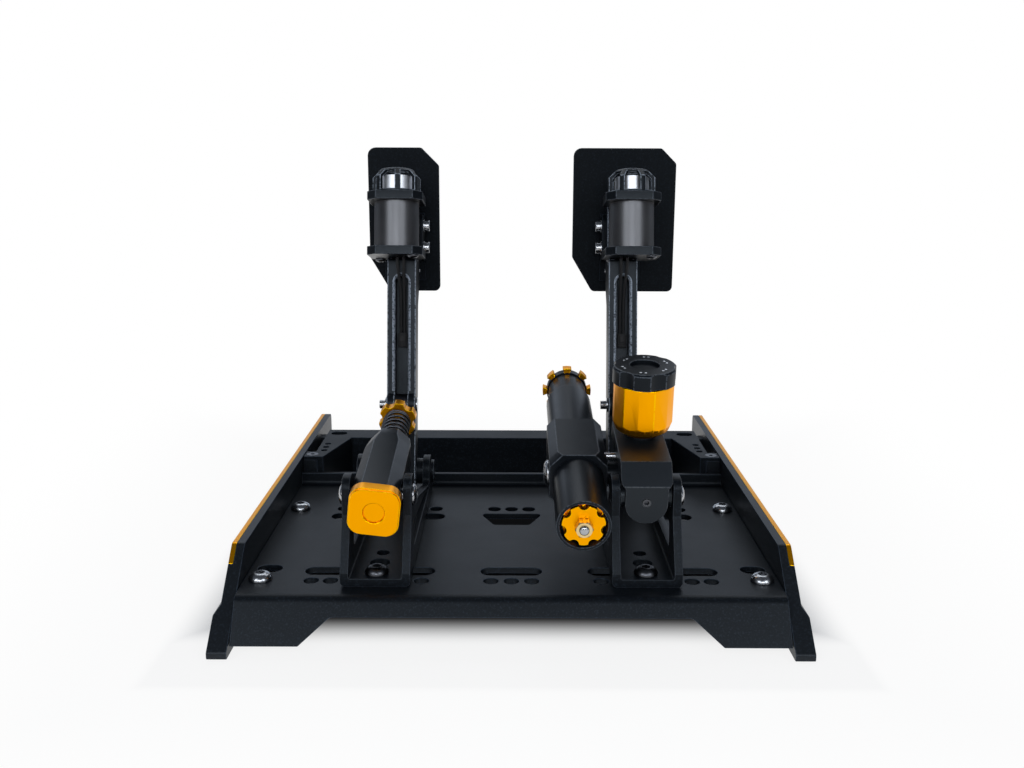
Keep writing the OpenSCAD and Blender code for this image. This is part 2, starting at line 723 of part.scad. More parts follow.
// Pedal bracket: a plate bent to a U, with lugs, hubs and a window in each cheek
module bracket(side) color(black) {
    lug = [trunnion_y, trunnion_z];
    hub = [pivot_y, pivot_z];
    low = deck_top;
    cheek = [[bracket_near, low], [bracket_far, low], [bracket_far, low + heel_h],
        hub + [hub_r, 0], hub + [hub_r, hub_r], hub + [-hub_r, hub_r], hub + [-hub_r, -hub_r * 0.6],
        lug + [lug_r, -lug_r * 0.7], lug + [lug_r, lug_top], lug + [-lug_r, lug_top], lug + [-lug_r, -lug_r],
        [bracket_near, low + toe_h]];
    radii = [0, 0, 3, 3, hub_r * 0.8, hub_r * 0.8, 4, 5, lug_r * 0.8, lug_r * 0.8, 4, 2];
    sill = bracket_floor + rail_w;
    bend_in = 1;
    bend_out = 3;
    window = [[bracket_near + 26, sill], [hub[0] - hub_r - 4, sill - 3], [hub[0] - hub_r - 4, sill],
        [lug[0] + 3, lug[1] - lug_r - rail_w * 0.8]];
    at_unit(side) difference() {
        intersection() {
            plate_x(-bracket_w / 2, bracket_w / 2) polygon(rounded(cheek, radii));
            prism_y(bracket_near - 1, bracket_far + 1) difference() {
                polygon(rounded([[-bracket_w / 2, low], [bracket_w / 2, low], [bracket_w / 2, 2 * trunnion_z],
                    [-bracket_w / 2, 2 * trunnion_z]], [bend_out, bend_out, 0, 0]));
                polygon(rounded([[-bracket_in, bracket_floor], [bracket_in, bracket_floor],
                    [bracket_in, 3 * trunnion_z], [-bracket_in, 3 * trunnion_z]], [bend_in, bend_in, 0, 0]));
            }
        }
        plate_x(-bracket_w, bracket_w) polygon(rounded(window, [3, 1, 1, 3]));
        translate([0, trunnion_y, trunnion_z]) round_x(trunnion_d + 2 * seat_fit, -bracket_w, bracket_w);
        translate([0, pivot_y, pivot_z]) round_x(axle_d + 4, -bracket_w, bracket_w);
        for (y = [near_holes_y, far_holes_y])
            translate([0, y, low - 1]) cylinder(d = hole_d, h = bracket_t + 2);
        translate([0, floor_hole_y, low - 1]) cylinder(d = floor_hole_d, h = bracket_t + 2);
        translate([0, floor_pin_y, low - 1]) cylinder(d = floor_pin_d, h = bracket_t + 2);
    }
}

module throttle_bracket() bracket(-1);
module brake_bracket() bracket(1);

// Bolts through the bracket floor and the deck, each with a nut under the deck
module bracket_bolts(side) color(black) at_unit(side) {
    for (y = [near_holes_y, far_holes_y]) translate([0, y, 0]) {
        translate([0, 0, bracket_floor]) button_screw(M8, bracket_t + deck_t + 9);
        translate([0, 0, deck_low - m8_nut_h]) difference() {
            cylinder(d = m8_nut_af / cos(30), h = m8_nut_h, $fn = 6);
            translate([0, 0, -1]) cylinder(d = M8[0] + 2 * seat_fit, h = m8_nut_h + 2);
        }
    }
}

module throttle_bracket_bolts() bracket_bolts(-1);
module brake_bracket_bolts() bracket_bolts(1);

// Shoulder bolts that carry the cylinder in the lugs; a side without a head ends flush
module trunnion_bolts(side, heads, reach) color(silver) at_unit(side) translate([0, trunnion_y, trunnion_z])
    for (s = [-1, 1]) mirror([s < 0 ? 1 : 0, 0, 0]) {
        round_x(trunnion_d, reach, bracket_w / 2);
        if (s == heads || heads == 0)
            translate([bracket_w / 2, 0, 0]) rotate([0, 90, 0]) button_screw(trunnion_screw, bracket_t - 1);
    }

module throttle_trunnion_bolts() trunnion_bolts(-1, 0, tube_w / 2 - trunnion_depth);
module brake_trunnion_bolts() trunnion_bolts(1, 1, master_low_w / 2 - trunnion_depth);

// Flanged bushes in the bracket hubs
module pivot_bushes(side) color(black) at_unit(side) translate([0, pivot_y, pivot_z])
    for (s = [-1, 1]) mirror([s < 0 ? 1 : 0, 0, 0]) difference() {
        union() {
            round_x(axle_d + 4 - 2 * seat_fit, bracket_in - 1, bracket_w / 2);
            round_x(axle_d + 8, arm_w / 2 + gap, bracket_in);
        }
        round_x(axle_d + 2 * run_fit, 0, bracket_w);
    }

module throttle_pivot_bushes() pivot_bushes(-1);
module brake_pivot_bushes() pivot_bushes(1);

// Axle that turns with the arm, kept by a screwed disc at each end
module pivot_axle(side) color(black) at_unit(side) translate([0, pivot_y, pivot_z]) {
    end = bracket_w / 2 + gap;
    disc_t = 2.4;
    difference() {
        union() {
            round_x(axle_d, -end - 1, end + 1);
            for (s = [-1, 1]) mirror([s < 0 ? 1 : 0, 0, 0]) round_x(axle_d + 6, end, end + disc_t);
        }
        for (s = [-1, 1]) mirror([s < 0 ? 1 : 0, 0, 0]) translate([end + 0.6, 0, 0]) rotate([0, 90, 0])
            cylinder(d = M6[3] / cos(30), h = disc_t, $fn = 6);
    }
}

module throttle_pivot_axle() pivot_axle(-1);
module brake_pivot_axle() pivot_axle(1);

// Arm: a bar with a channel on its near face, ears for the clevis pin, a seat for the motor and an upper leg
module arm(side) color(black) at_arm(side) {
    d = arm_d / 2;
    back = leg_front + leg_d;
    jog = back - d;
    seat = seat_s - face_gap;
    half = channel_w / 2;
    channel_end = channel_top - half;
    jog_s = seat_s - 22;
    outline = [[-d, -hub_r], [d, -hub_r], [d, jog_s - jog], [back, jog_s + jog / 2], [back, leg_top],
        [leg_front, leg_top], [leg_front, seat], [-d, seat]];
    radii = [d * 0.8, d * 0.8, 8, 8, 4, 4, 0, 2];
    difference() {
        union() {
            plate_x(-arm_w / 2, arm_w / 2) polygon(rounded(outline, radii));
            translate([0, -pin_n, pin_r]) round_x(2 * ear_r, -arm_w / 2, arm_w / 2);
        }
        translate([-half, -pin_n - ear_r - 1, channel_low])
            cube([channel_w, channel_d - d + pin_n + ear_r + 1, channel_end - channel_low]);
        translate([0, 0, channel_end]) round_y(channel_w, -d - 1, channel_d - d);
        translate([0, 0, rim_low]) linear_extrude(channel_end - rim_low) polygon([
            [-half - channel_rim - 1, -d - 1], [half + channel_rim + 1, -d - 1],
            [half, channel_rim - d], [-half, channel_rim - d]]);
        translate([0, -d - 1, channel_end]) rotate([-90, 0, 0])
            cylinder(r1 = half + channel_rim + 1, r2 = half, h = channel_rim + 1);
        round_x(axle_d + 2 * seat_fit, -arm_w, arm_w);
        translate([0, -pin_n, pin_r]) round_x(pin_d + 2 * seat_fit, -arm_w, arm_w);
        for (s = mount_screw_s) translate([0, mount_screw_y, s]) round_x(M5[0] + 2 * seat_fit, -arm_w, arm_w);
        for (x = seat_screw_x) translate([side * x, seat_screw_y, seat_s - 8])
            cylinder(d = M4[0] + 2 * seat_fit, h = 9);
        for (p = clamp_screws) translate([motor_x(side) + p[0], p[1] - motor_n, seat_s - M4[2] - 0.5])
            cylinder(d = M4[1] + 2 * gap, h = M4[2] + 1.5);
    }
}

module throttle_arm() arm(-1);
module brake_arm() arm(1);

module clevis_pin(side) color(silver) at_arm(side) translate([0, -pin_n, pin_r]) {
    collar = 1.2;
    round_x(pin_d, -arm_w / 2 - collar / 2, arm_w / 2 + collar / 2);
    for (s = [-1, 1]) mirror([s < 0 ? 1 : 0, 0, 0])
        round_x(pin_d + 2, arm_w / 2 + seat_fit, arm_w / 2 + collar);
    round_x(pin_d - 2, -arm_w / 2 - pin_stub, -arm_w / 2);
}

module throttle_clevis_pin() clevis_pin(-1);
module brake_clevis_pin() clevis_pin(1);

function motor_x(side) = side * (side < 0 ? throttle_motor_x : brake_motor_x);

// Frame on the motor's axis, Z along it from the seat
module at_motor(side) at_arm(side) translate([motor_x(side), -motor_n, 0]) children();

module motor_can(side) color(black) at_motor(side) translate([0, 0, can_s]) difference() {
    rotate_extrude() polygon([[0, 0], [can_d / 2, 0], [can_d / 2, can_h], [0, can_h]]);
    translate([0, 0, can_h - shaft_hole]) cylinder(d = shaft_d + 2 * run_fit, h = shaft_hole + 1);
}

module throttle_motor_can() motor_can(-1);
module brake_motor_can() motor_can(1);

// Lower flange on the arm's seat and upper flange round the can's top
module motor_flanges(side) color(black) at_motor(side) {
    for (s = [seat_s, top_flange_s]) translate([0, 0, s]) difference() {
        linear_extrude(flange_t) polygon(cut_box(flange_w, flange_w, flange_cut));
        if (s == seat_s) {
            for (p = clamp_screws) translate([p[0], p[1], -1])
                cylinder(d = M4[0] + 2 * seat_fit, h = flange_t + 2);
            for (x = seat_screw_x) translate([side * x - motor_x(side), motor_n + seat_screw_y, 0]) {
                translate([0, 0, -1]) cylinder(d = M4[0] + 2 * seat_fit, h = flange_t + 2);
                translate([0, 0, seat_screw_h]) cylinder(d = M4[1] + 0.4, h = flange_t);
            }
        }
        if (s > seat_s) translate([0, 0, -1]) cylinder(d = 2 * mass_r + 4 * gap, h = flange_t + 2);
    }
}

module throttle_motor_flanges() motor_flanges(-1);
module brake_motor_flanges() motor_flanges(1);

// Cage over the eccentric mass: upright posts that slope in to a ring
module motor_cage(side) color(black) at_motor(side) translate([0, 0, cage_s]) {
    r = cage_d / 2;
    slope = 5.5;
    brim = 3.5;
    foot = 1.8;
    pitch = 360 / cage_posts;
    difference() {
        rotate_extrude() polygon([[r - cage_wall, 0], [r, 0], [r, cage_h - slope], [r - slope, cage_h],
            [r - slope - brim, cage_h], [r - slope - brim, cage_h - cage_wall],
            [r - slope - 1, cage_h - cage_wall], [r - cage_wall, cage_h - slope - 1]]);
        for (i = [1:cage_posts]) rotate(post_angle(side) + pitch * (i + 0.5))
            translate([0, 0, foot]) linear_extrude(cage_h - foot - 1.6) polygon([
                [r * 0.62, -window_half(r * 0.62)], [r + 1, -window_half(r + 1)],
                [r + 1, window_half(r + 1)], [r * 0.62, window_half(r * 0.62)]]);
    }
}

cage_posts = 7;

// Angle of the cage post nearest the front
function post_angle(side) = side < 0 ? -82 : -68;

// Half width of a cage window at radius r, which leaves a post of even width
function window_half(r) = r * tan(180 / cage_posts) - post_w / 2 / cos(180 / cage_posts);

module throttle_motor_cage() motor_cage(-1);
module brake_motor_cage() motor_cage(1);

// Eccentric mass on the motor shaft
module eccentric_mass(side) color(silver) at_motor(side) translate([0, 0, cage_s + 1]) {
    below = flange_t + shaft_hole - 3;
    cylinder(d = mass_hub_d, h = mass_h);
    translate([0, 0, -below]) cylinder(d = shaft_d, h = below + 1);
    difference() {
        cylinder(r = mass_r, h = mass_h);
        translate([-mass_r - 1, 2, -1]) cube([2 * mass_r + 2, mass_r, mass_h + 2]);
    }
}

module throttle_eccentric_mass() eccentric_mass(-1);
module brake_eccentric_mass() eccentric_mass(1);

// Two corner screws under the lower flange and the two that hold the motor on its seat
module motor_screws(side) color(silver) at_motor(side) {
    for (p = clamp_screws) translate([p[0], p[1], seat_s]) mirror([0, 0, 1])
        button_screw(M4, flange_t - 0.5);
    for (x = seat_screw_x)
        translate([side * x - motor_x(side), motor_n + seat_screw_y, seat_s + seat_screw_h])
            button_screw(M4, 10);
}

module throttle_motor_screws() motor_screws(-1);
module brake_motor_screws() motor_screws(1);

// Pedal plate, seen from the near side with a slanted lower left and a cut upper right corner
module pedal_plate(side, w, shift, cut) color(black) at_arm(side) in_plate() {
    outline = [[-w / 2 + plate_slant_w, 0], [w / 2, 0], [w / 2, plate_h - cut],
        [w / 2 - cut, plate_h], [-w / 2, plate_h], [-w / 2, plate_slant_h]];
    radii = [plate_r, plate_r, 3, 3, plate_r + 2, 3];
    difference() {
        translate([side * shift, 0, -plate_low]) prism_y(0, plate_t) polygon(rounded(outline, radii));
        for (p = plate_screws(side)) translate([p[0], 0, p[1]]) {
            round_y(M4[0] + 2 * seat_fit, -1, plate_t + 1);
            round_y(M4[1] + 0.4, plate_t - M4[2], plate_t + 1);
        }
    }
}

// Frame of a pedal plate in the arm's frame: X and Z in its near face, Y through it
module in_plate() translate([0, plate_back, plate_mid]) rotate([plate_tilt, 0, 0]) children();

mount_low = mount_screw_s[0] - 8;
mount_high = mount_screw_s[1] + 8;
base_low = -33;
base_high = 17;
base_w = 30;
base_in = arm_w / 2 + mount_t - base_w;

// Screws between the plate and the mount's base, in the plate's X and Z
function plate_screws(side) = [for (z = [base_low + 7, base_high - 9], x = [6, base_w - 6])
    [-side * (base_in + x), z]];

// Middle of the mount's base behind the arm's centre line, at the height s
function base_line(s) = plate_back - mount_t / 2 - (s - plate_mid) * tan(plate_tilt);

module throttle_pedal_plate() pedal_plate(-1, throttle_plate_w, throttle_plate_x, throttle_plate_cut);
module brake_pedal_plate() pedal_plate(1, brake_plate_w, brake_plate_x, brake_plate_cut);

// Angle that joins the plate to the inner side of the arm's leg
module plate_mount(side) color(black) at_arm(side) mirror([side > 0 ? 1 : 0, 0, 0]) difference() {
    union() {
        plate_x(arm_w / 2, arm_w / 2 + mount_t) polygon(rounded([
            [leg_front + 1, mount_low], [base_line(mount_low), mount_low],
            [base_line(mount_high), mount_high], [leg_front + 1, mount_high]], [6, 0, 0, 6]));
        in_plate() translate([base_in, -mount_t, base_low]) cube([base_w, mount_t, base_high - base_low]);
    }
    for (s = mount_screw_s) translate([0, mount_screw_y, s]) round_x(M5[0] + 0.6, 0, arm_w);
    in_plate() for (p = plate_screws(-1)) translate([p[0], 0, p[1]])
        round_y(M4[0] + 2 * seat_fit, -mount_t - 1, 1);
}

module throttle_plate_mount() plate_mount(-1);
module brake_plate_mount() plate_mount(1);

// Two screws at the side of the leg and four in the face of the plate
module mount_screws(side) color(silver) at_arm(side) mirror([side > 0 ? 1 : 0, 0, 0]) {
    for (s = mount_screw_s) translate([arm_w / 2 + mount_t, mount_screw_y, s])
        rotate([0, 90, 0]) cap_screw(M5_cap, mount_t + arm_w - 4);
    in_plate() for (p = plate_screws(-1)) translate([p[0], plate_t - M4[2], p[1]])
        rotate([-90, 0, 0]) button_screw(M4, plate_t + mount_t - M4[2] - 0.5);
}

module throttle_mount_screws() mount_screws(-1);
module brake_mount_screws() mount_screws(1);

// Route of a lead strand: X, Y and the way down from the motor seat, in the arm's frame
lead_d = 2.2;
lead_end = 54;
lead_route = [[2.2, -17, face_gap], [2.2, -17, 3], [2, -14.8, 8], [1.7, -9.5, 14.5], [1.4, -4, 22],
    [1.3, -0.8, 31], [1.3, 0.2, 42], [1.3, 0.3, lead_end]];
lead_sides = 8;
plug_w = 6.4;
plug_len = 10;
plug_t = 5;

// Point on a smooth curve through the route, t counted in route steps
function along(route, t) =
    let(last = len(route) - 1, i = min(floor(t), last - 1), f = t - i)
    let(a = route[max(i - 1, 0)], b = route[i], c = route[i + 1], d = route[min(i + 2, last)])
    0.5 * (2 * b + f * (c - a) + f * f * (2 * a - 5 * b + 4 * c - d) + f * f * f * (3 * b - a - 3 * c + d));

// Ring of points round p, square to the way dir
function ring(p, dir, r, n) =
    let(w = dir / norm(dir), side = cross(w, [1, 0, 0.01]), u = side / norm(side), v = cross(w, u))
    [for (k = [0:n - 1]) p + r * (cos(360 * k / n) * u + sin(360 * k / n) * v)];

// Closed tube over rings of n points each
module tube_of(rings) {
    n = len(rings[0]);
    m = len(rings);
    walls = [for (i = [0:m - 2], k = [0:n - 1])
        let(a = i * n + k, b = i * n + (k + 1) % n)
        each [[a, b + n, b], [a, a + n, b + n]]];
    near = [for (k = [1:n - 2]) [0, k, k + 1]];
    far = [for (k = [1:n - 2]) [(m - 1) * n, (m - 1) * n + k + 1, (m - 1) * n + k]];
    polyhedron([for (r = rings) each r], concat(walls, near, far));
}

module motor_lead(side) color(rubber) at_arm(side) {
    steps = 3 * (len(lead_route) - 1);
    for (k = [-1, 1]) {
        route = [for (p = lead_route) [k * p[0], p[1], seat_s - p[2]]];
        tube_of([for (i = [0:steps])
            let(t = i / 3, p = along(route, t))
            let(q = along(route, min(t + 0.02, len(route) - 1)), o = along(route, max(t - 0.02, 0)))
            ring(p, q - o, lead_d / 2, lead_sides)]);
    }
    translate([-plug_w / 2, channel_d - arm_d / 2 - face_gap - plug_t, seat_s - lead_end - plug_len + 1])
        cube([plug_w, plug_t, plug_len]);
}

module throttle_motor_lead() motor_lead(-1);
module brake_motor_lead() motor_lead(1);

// Throttle tube: a square with cut corners whose eight faces taper to the mouth
module throttle_tube() color(black) at_cylinder(-1) difference() {
    near = -tube_near - 1;
    near_h = mouth_d / 2 + taper_rise * (tube_far - near);
    intersection() {
        prism_y(-tube_near, tube_far) polygon(cut_box(tube_w, tube_w, tube_cut));
        taper_slab(0, near, tube_far, near_h, mouth_d / 2, tube_w);
        taper_slab(45, near, tube_far, near_h, mouth_d / 2, tube_w);
        taper_slab(90, near, tube_far, near_h, mouth_d / 2, tube_w);
        taper_slab(135, near, tube_far, near_h, mouth_d / 2, tube_w);
    }
    round_y(chamber_d, -tube_near - 1, rod_end_u + piston_len + 2);
    round_y(rod_d + 2 * run_fit, 0, tube_far);
    round_y(spring_d + 1, tube_far - spring_seat, tube_far + 1);
    for (s = [-1, 1]) mirror([s < 0 ? 1 : 0, 0, 0])
        round_x(trunnion_d + 2 * run_fit, tube_w / 2 - trunnion_depth - gap, tube_w);
}

// End knob: a rounded square with a shallow round dish, on a shank in the tube
module throttle_end_knob() color(amber) at_cylinder(-1) difference() {
    near = -tube_near - gap;
    edge = 1.4;
    dish_d = 13;
    dish_deep = 1.1;
    dish_r = (dish_d * dish_d / 4 + dish_deep * dish_deep) / (2 * dish_deep);
    union() {
        rotate([0, knob_turn, 0]) {
            prism_y(near - knob_t + edge, near) polygon(rounded(box_pts(knob_w, knob_w), knob_r, 8));
            prism_y(near - knob_t, near - knob_t + edge)
                polygon(rounded(box_pts(knob_w - edge, knob_w - edge), knob_r - edge / 2, 8));
        }
        round_y(chamber_d - 2 * run_fit, near - 1, -tube_near + knob_shank);
    }
    translate([0, near - knob_t + dish_deep - dish_r, 0]) sphere(r = dish_r);
}

// Push rod with its eye on the clevis pin; the piston runs in the tube's chamber
module throttle_rod() color(steel) at_cylinder(-1) difference() {
    union() {
        round_y(rod_d, rod_end_u, cyl_len - 4);
        round_y(chamber_d - 4 * run_fit, rod_end_u, rod_end_u + piston_len - gap);
        translate([0, cyl_len, 0]) round_x(eye_d, -eye_w / 2, eye_w / 2);
    }
    translate([0, cyl_len, 0]) round_x(pin_d + 2 * eye_play, -eye_w, eye_w);
}

eye_w = channel_w - 0.7;
eye_d = pin_d + 2 * eye_play + 6;

// Coil spring from the seat in the tube to the star nut
spring_start = tube_far - spring_seat + gap + wire_d / 2;
spring_len = star_u - gap - wire_d / 2 - spring_start;
spring_steps = 8 * spring_turns;
function coil(i) = let(a = 45 * i, r = (spring_d - wire_d) / 2)
    [r * cos(a), spring_start + spring_len * i / spring_steps, r * sin(a)];

module throttle_spring() color(steel) {
    least = min([for (i = [0:spring_steps], j = [i + 5:1:spring_steps]) norm(coil(i) - coil(j))]) - wire_d;
    echo(spring_least_gap = least);
    at_cylinder(-1) tube_of([for (i = [0:spring_steps])
        ring(coil(i), coil(min(i + 1, spring_steps)) - coil(max(i - 1, 0)), wire_d / 2, 6)]);
}

// Star nut with six lobes on the push rod
module throttle_star_nut() color(amber) at_cylinder(-1) difference() {
    round_y(star_d, star_u, star_u + star_t);
    scoop_d = 8;
    for (i = [0:5]) rotate([0, 60 * i + 8, 0]) translate([star_d / 2 + 1.5, 0, 0])
        round_y(scoop_d, star_u - 1, star_u + star_t + 1);
    round_y(rod_d + 2 * run_fit, star_u - 1, star_u + star_t + 1);
}

// Angle sensor cup over the outer end of the throttle axle
module throttle_sensor() color(black) at_unit(-1) translate([-bracket_w / 2, pivot_y, pivot_z]) difference() {
    cup_out = axle_d + 14;
    cup_deep = 8;
    union() {
        round_x(cup_out, -cup_deep - 3, 0);
        for (s = [-1, 1]) translate([0, 0, s * cup_out / 2]) round_x(8, -3, 0);
    }
    round_x(axle_d + 8, -cup_deep, 1);
}

// Master cylinder: a block with a round belly, a slanted front and a neck for the reservoir
module brake_master_cylinder() color(black) at_cylinder(1) difference() {
    shoulder_low = 8.5;
    shoulder_top = 12;
    belly_r = master_low_w / 2 - 0.1;
    union() {
        intersection() {
            prism_y(-master_near, master_far) polygon(rounded([
                [-master_low_w / 2, -master_low_w / 2 - 1], [master_low_w / 2, -master_low_w / 2 - 1],
                [master_low_w / 2, shoulder_low], [master_top_w / 2, shoulder_top],
                [master_top_w / 2, master_top + 1], [-master_top_w / 2, master_top + 1],
                [-master_top_w / 2, shoulder_top], [-master_low_w / 2, shoulder_low]],
                [belly_r, belly_r, 0, 0, 0, 0, 0, 0], 12));
            plate_x(-master_w, master_w) polygon([[-master_near, -master_w], [master_far, -master_w],
                [master_far, master_top], [master_cut - master_near, master_top],
                [-master_near, master_top - master_cut]]);
        }
        round_y(master_bore + 8, master_far - 1, master_far + nose_len);
        round_x(trunnion_d + 6, -bracket_in + gap, bracket_in - gap);
        translate([res_x, res_u, master_top - 1]) cylinder(d = neck_d, h = neck_h + 1);
    }
    round_y(master_bore, 10, master_far + nose_len + 1);
    round_y(M5[0] + 2 * seat_fit, -master_near - 1, set_len - master_near);
    translate([res_x, res_u, 0]) cylinder(d = 6, h = master_top + neck_h + 1);
    for (s = [-1, 1]) mirror([s < 0 ? 1 : 0, 0, 0])
        round_x(trunnion_d + 2 * run_fit, master_low_w / 2 - trunnion_depth - gap, master_w);
    for (v = link_v) translate([0, link_u, v])
        round_x(link_d + 2 * seat_fit, -master_w, 4 - master_low_w / 2);
    translate([0, sensor_u, -master_w]) cylinder(d = sensor_d + 2 * seat_fit, h = master_w);
}

link_u = 30;
link_v = [0, 11.6];
link_d = 4.6;
link_boss = 14;
sensor_u = 30;
sensor_d = 10;
set_len = 5;
brake_rod_u = 48;

// Gland that closes the master bore round the push rod
module brake_gland() color(silver) at_cylinder(1) difference() {
    union() {
        round_y(master_bore - 2 * seat_fit, master_far + nose_len - 8, master_far + nose_len);
        round_y(master_bore + 8, master_far + nose_len, master_far + nose_len + 3);
    }
    round_y(rod_d + 2 * run_fit, 0, cyl_len);
}

// Brake push rod with its piston in the master bore and its eye on the clevis pin
module brake_push_rod() color(steel) at_cylinder(1) difference() {
    union() {
        round_y(rod_d, brake_rod_u, cyl_len - 4);
        round_y(master_bore - 2 * run_fit, brake_rod_u, brake_rod_u + piston_len);
        translate([0, cyl_len, 0]) round_x(eye_d, -eye_w / 2, eye_w / 2);
    }
    translate([0, cyl_len, 0]) round_x(pin_d + 2 * eye_play, -eye_w, eye_w);
}

// Pressure sensor screwed into the belly of the master cylinder
module brake_pressure_sensor() color(steel) at_cylinder(1) translate([0, sensor_u, -master_low_w / 2 - 1]) {
    translate([0, 0, -1]) cylinder(d = sensor_d, h = 5);
    translate([0, 0, -7]) cylinder(d = 14 / cos(30), h = 6, $fn = 6);
    translate([0, 0, -12]) cylinder(d = 11, h = 6);
}

module at_reservoir() at_cylinder(1) translate([res_x, res_u, master_top + neck_h]) children();

// Reservoir cup: a faceted wall that runs out into a sloped round bottom
module brake_reservoir_cup() color(amber) at_reservoir() difference() {
    intersection() {
        rotate(15) cylinder(d = cup_d / cos(15), h = cup_h, $fn = 12);
        rotate_extrude() polygon([[0, 0], [cup_d * 0.33, 0], [cup_d * 0.46, 3.2], [cup_d * 0.52, 9],
            [cup_d * 0.52, cup_h], [0, cup_h]]);
    }
    translate([0, 0, 4]) cylinder(d = cup_d - 2 * cup_wall, h = cup_h);
    translate([0, 0, -1]) cylinder(d = 6, h = 6);
}

// Screw cap with six scallops, a round recess and a pair of pin holes in each lobe
module brake_reservoir_cap() color(black) at_reservoir() translate([0, 0, cup_h + gap]) difference() {
    scallop_r = 12.2;
    scallop_deep = 1.8;
    dip_d = 18;
    dip_deep = 2.4;
    pin_hole = [1.5, 2];
    union() {
        rotate_extrude() polygon([[0, 0], [cap_d / 2, 0], [cap_d / 2, cap_h - 1.2],
            [cap_d / 2 - 1.2, cap_h], [0, cap_h]]);
        translate([0, 0, -6]) cylinder(d = cup_d - 2 * cup_wall - 2 * run_fit, h = 7);
    }
    for (i = [0:5]) rotate(60 * i - 10) translate([cap_d / 2 + scallop_r - scallop_deep, 0, -1])
        cylinder(r = scallop_r, h = cap_h + 2);
    translate([0, 0, cap_h - dip_deep]) cylinder(d = dip_d, h = dip_deep + 1);
    for (i = [0:5], k = [-1, 1]) rotate(60 * i + 20 + 6 * k)
        translate([cap_d * 0.36, 0, cap_h - pin_hole[1]]) cylinder(d = pin_hole[0], h = pin_hole[1] + 1);
    translate([0, 0, -7]) cylinder(d = cup_d - 2 * cup_wall - 5, h = 9);
}

// Slave cylinder: a barrel through an eight-sided block
module brake_slave_cylinder() color(black) at_slave() difference() {
    edge = 2;
    near_h = (block_w - block_cut - 3) / sqrt(2);
    far_h = near_h + 3 / sqrt(2) / block_bevel * (block_far - block_near);
    union() {
        rotate([-90, 0, 0]) rotate_extrude() polygon([[0, -slave_near], [slave_d / 2, -slave_near],
            [slave_d / 2, slave_far - edge], [slave_d / 2 - edge, slave_far], [0, slave_far]]);
        intersection() {
            prism_y(block_near, block_far) polygon(cut_box(block_w, block_w, block_cut));
            taper_slab(45, block_near, block_far, near_h, far_h, block_w);
            taper_slab(135, block_near, block_far, near_h, far_h, block_w);
        }
        translate([0, link_u, 0]) round_x(link_boss, block_w / 2 - 1, -slave_dx - master_low_w / 2 - gap);
    }
    round_y(recess_d, -slave_near - 1, -wall_near);
    round_y(slave_bore, wall_len - wall_near, slave_far + 1);
    round_y(stud_d + 2 * seat_fit, -slave_near, wall_len);
    for (v = link_v) translate([0, link_u, v]) round_x(link_d + 2 * seat_fit, block_w / 2 - 4, 2 * block_w);
    translate([0, link_u, 0]) round_x(plug_screw[0] + 2 * seat_fit, -block_w, -block_w / 2 + 5);
}

// Link pipes between the two cylinders, the plug in the block and the set screw in the master's front
module brake_link_fittings() color(silver) at_cylinder(1) {
    for (v = link_v) translate([0, link_u, v])
        round_x(link_d, slave_dx + block_w / 2 - 3.8, 3.8 - master_low_w / 2);
    translate([slave_dx - block_w / 2, link_u, 0]) rotate([0, -90, 0]) button_screw(plug_screw, 4.8);
    translate([0, -master_near, 0]) rotate([90, 0, 0]) difference() {
        translate([0, 0, 0.3 - set_len]) cylinder(d = M5[0], h = set_len);
        translate([0, 0, -1.5]) cylinder(d = M4[3] / cos(30), h = 3, $fn = 6);
    }
}

// Stud and nut that hold the preload knob
module brake_preload_stud() color(silver) at_slave() {
    face = -wall_near - gap - preload_t - gap;
    round_y(stud_d, face - nut_t - 2, wall_len - wall_near - 0.5);
    translate([0, face - nut_t, 0]) rotate([-90, 0, 0]) cylinder(d = nut_af / cos(30), h = nut_t, $fn = 6);
}

// Preload knob with seven lobes, let into the barrel's near end
module brake_preload_knob() color(amber) at_slave() difference() {
    near = -wall_near - gap - preload_t;
    round_y(preload_d, near, near + preload_t);
    for (i = [0:6]) rotate([0, 360 / 7 * i + 12, 0]) translate([preload_d / 2 + 0.6, 0, 0])
        round_y(6, near - 1, near + preload_t - 1.6);
    round_y(stud_d + 2 * run_fit, near - 1, 0);
}

// Rubber discs and washers that the slave piston squeezes
module brake_elastomer_stack() color(rubber) at_slave() {
    n = 4;
    each_len = stack_len / n;
    for (i = [0:n - 1]) translate([0, stack_u + i * each_len, 0]) {
        round_y(slave_bore - 1.6, 0.8, each_len - 0.8);
        round_y(slave_bore - 0.6, 0, 1.6);
    }
    round_y(slave_bore - 4, stack_u, stack_u + stack_len);
}

piston_u = stack_u + stack_len + gap;

module brake_slave_piston() color(steel) at_slave() {
    land = 4;
    round_y(slave_bore - 2 * run_fit, piston_u, piston_u + land);
    round_y(slave_bore - 5, piston_u + land - 1, piston_u + 2 * land + 1);
    round_y(slave_bore - 2 * run_fit, piston_u + 2 * land, piston_u + 3 * land);
}

// Collar that closes the slave barrel and carries the far wheel on a stub
module brake_end_collar() color(black) at_slave() {
    stub_end = slave_far + collar_len + 2 * gap + wheel_t;
    round_y(slave_bore - 2 * seat_fit, slave_far - 10, slave_far + 1);
    round_y(slave_d - 4, slave_far, slave_far + collar_len);
    round_y(wheel_stub_d, slave_far, stub_end);
    round_y(wheel_stub_d + 4, stub_end, stub_end + 1.5);
}

// Toothed wheel at the far end
module brake_far_wheel() color(amber) at_slave()
    translate([0, slave_far + collar_len + gap, 0]) difference() {
    round_y(wheel_d, 0, wheel_t);
    for (i = [0:7]) rotate([0, 45 * i + 22.5, 0])
        translate([wheel_d / 2 - tooth_gap / 2, -1, -tooth_gap / 2]) cube([wheel_d, wheel_t + 2, tooth_gap]);
    round_y(wheel_stub_d + 2 * run_fit, -1, wheel_t + 1);
}

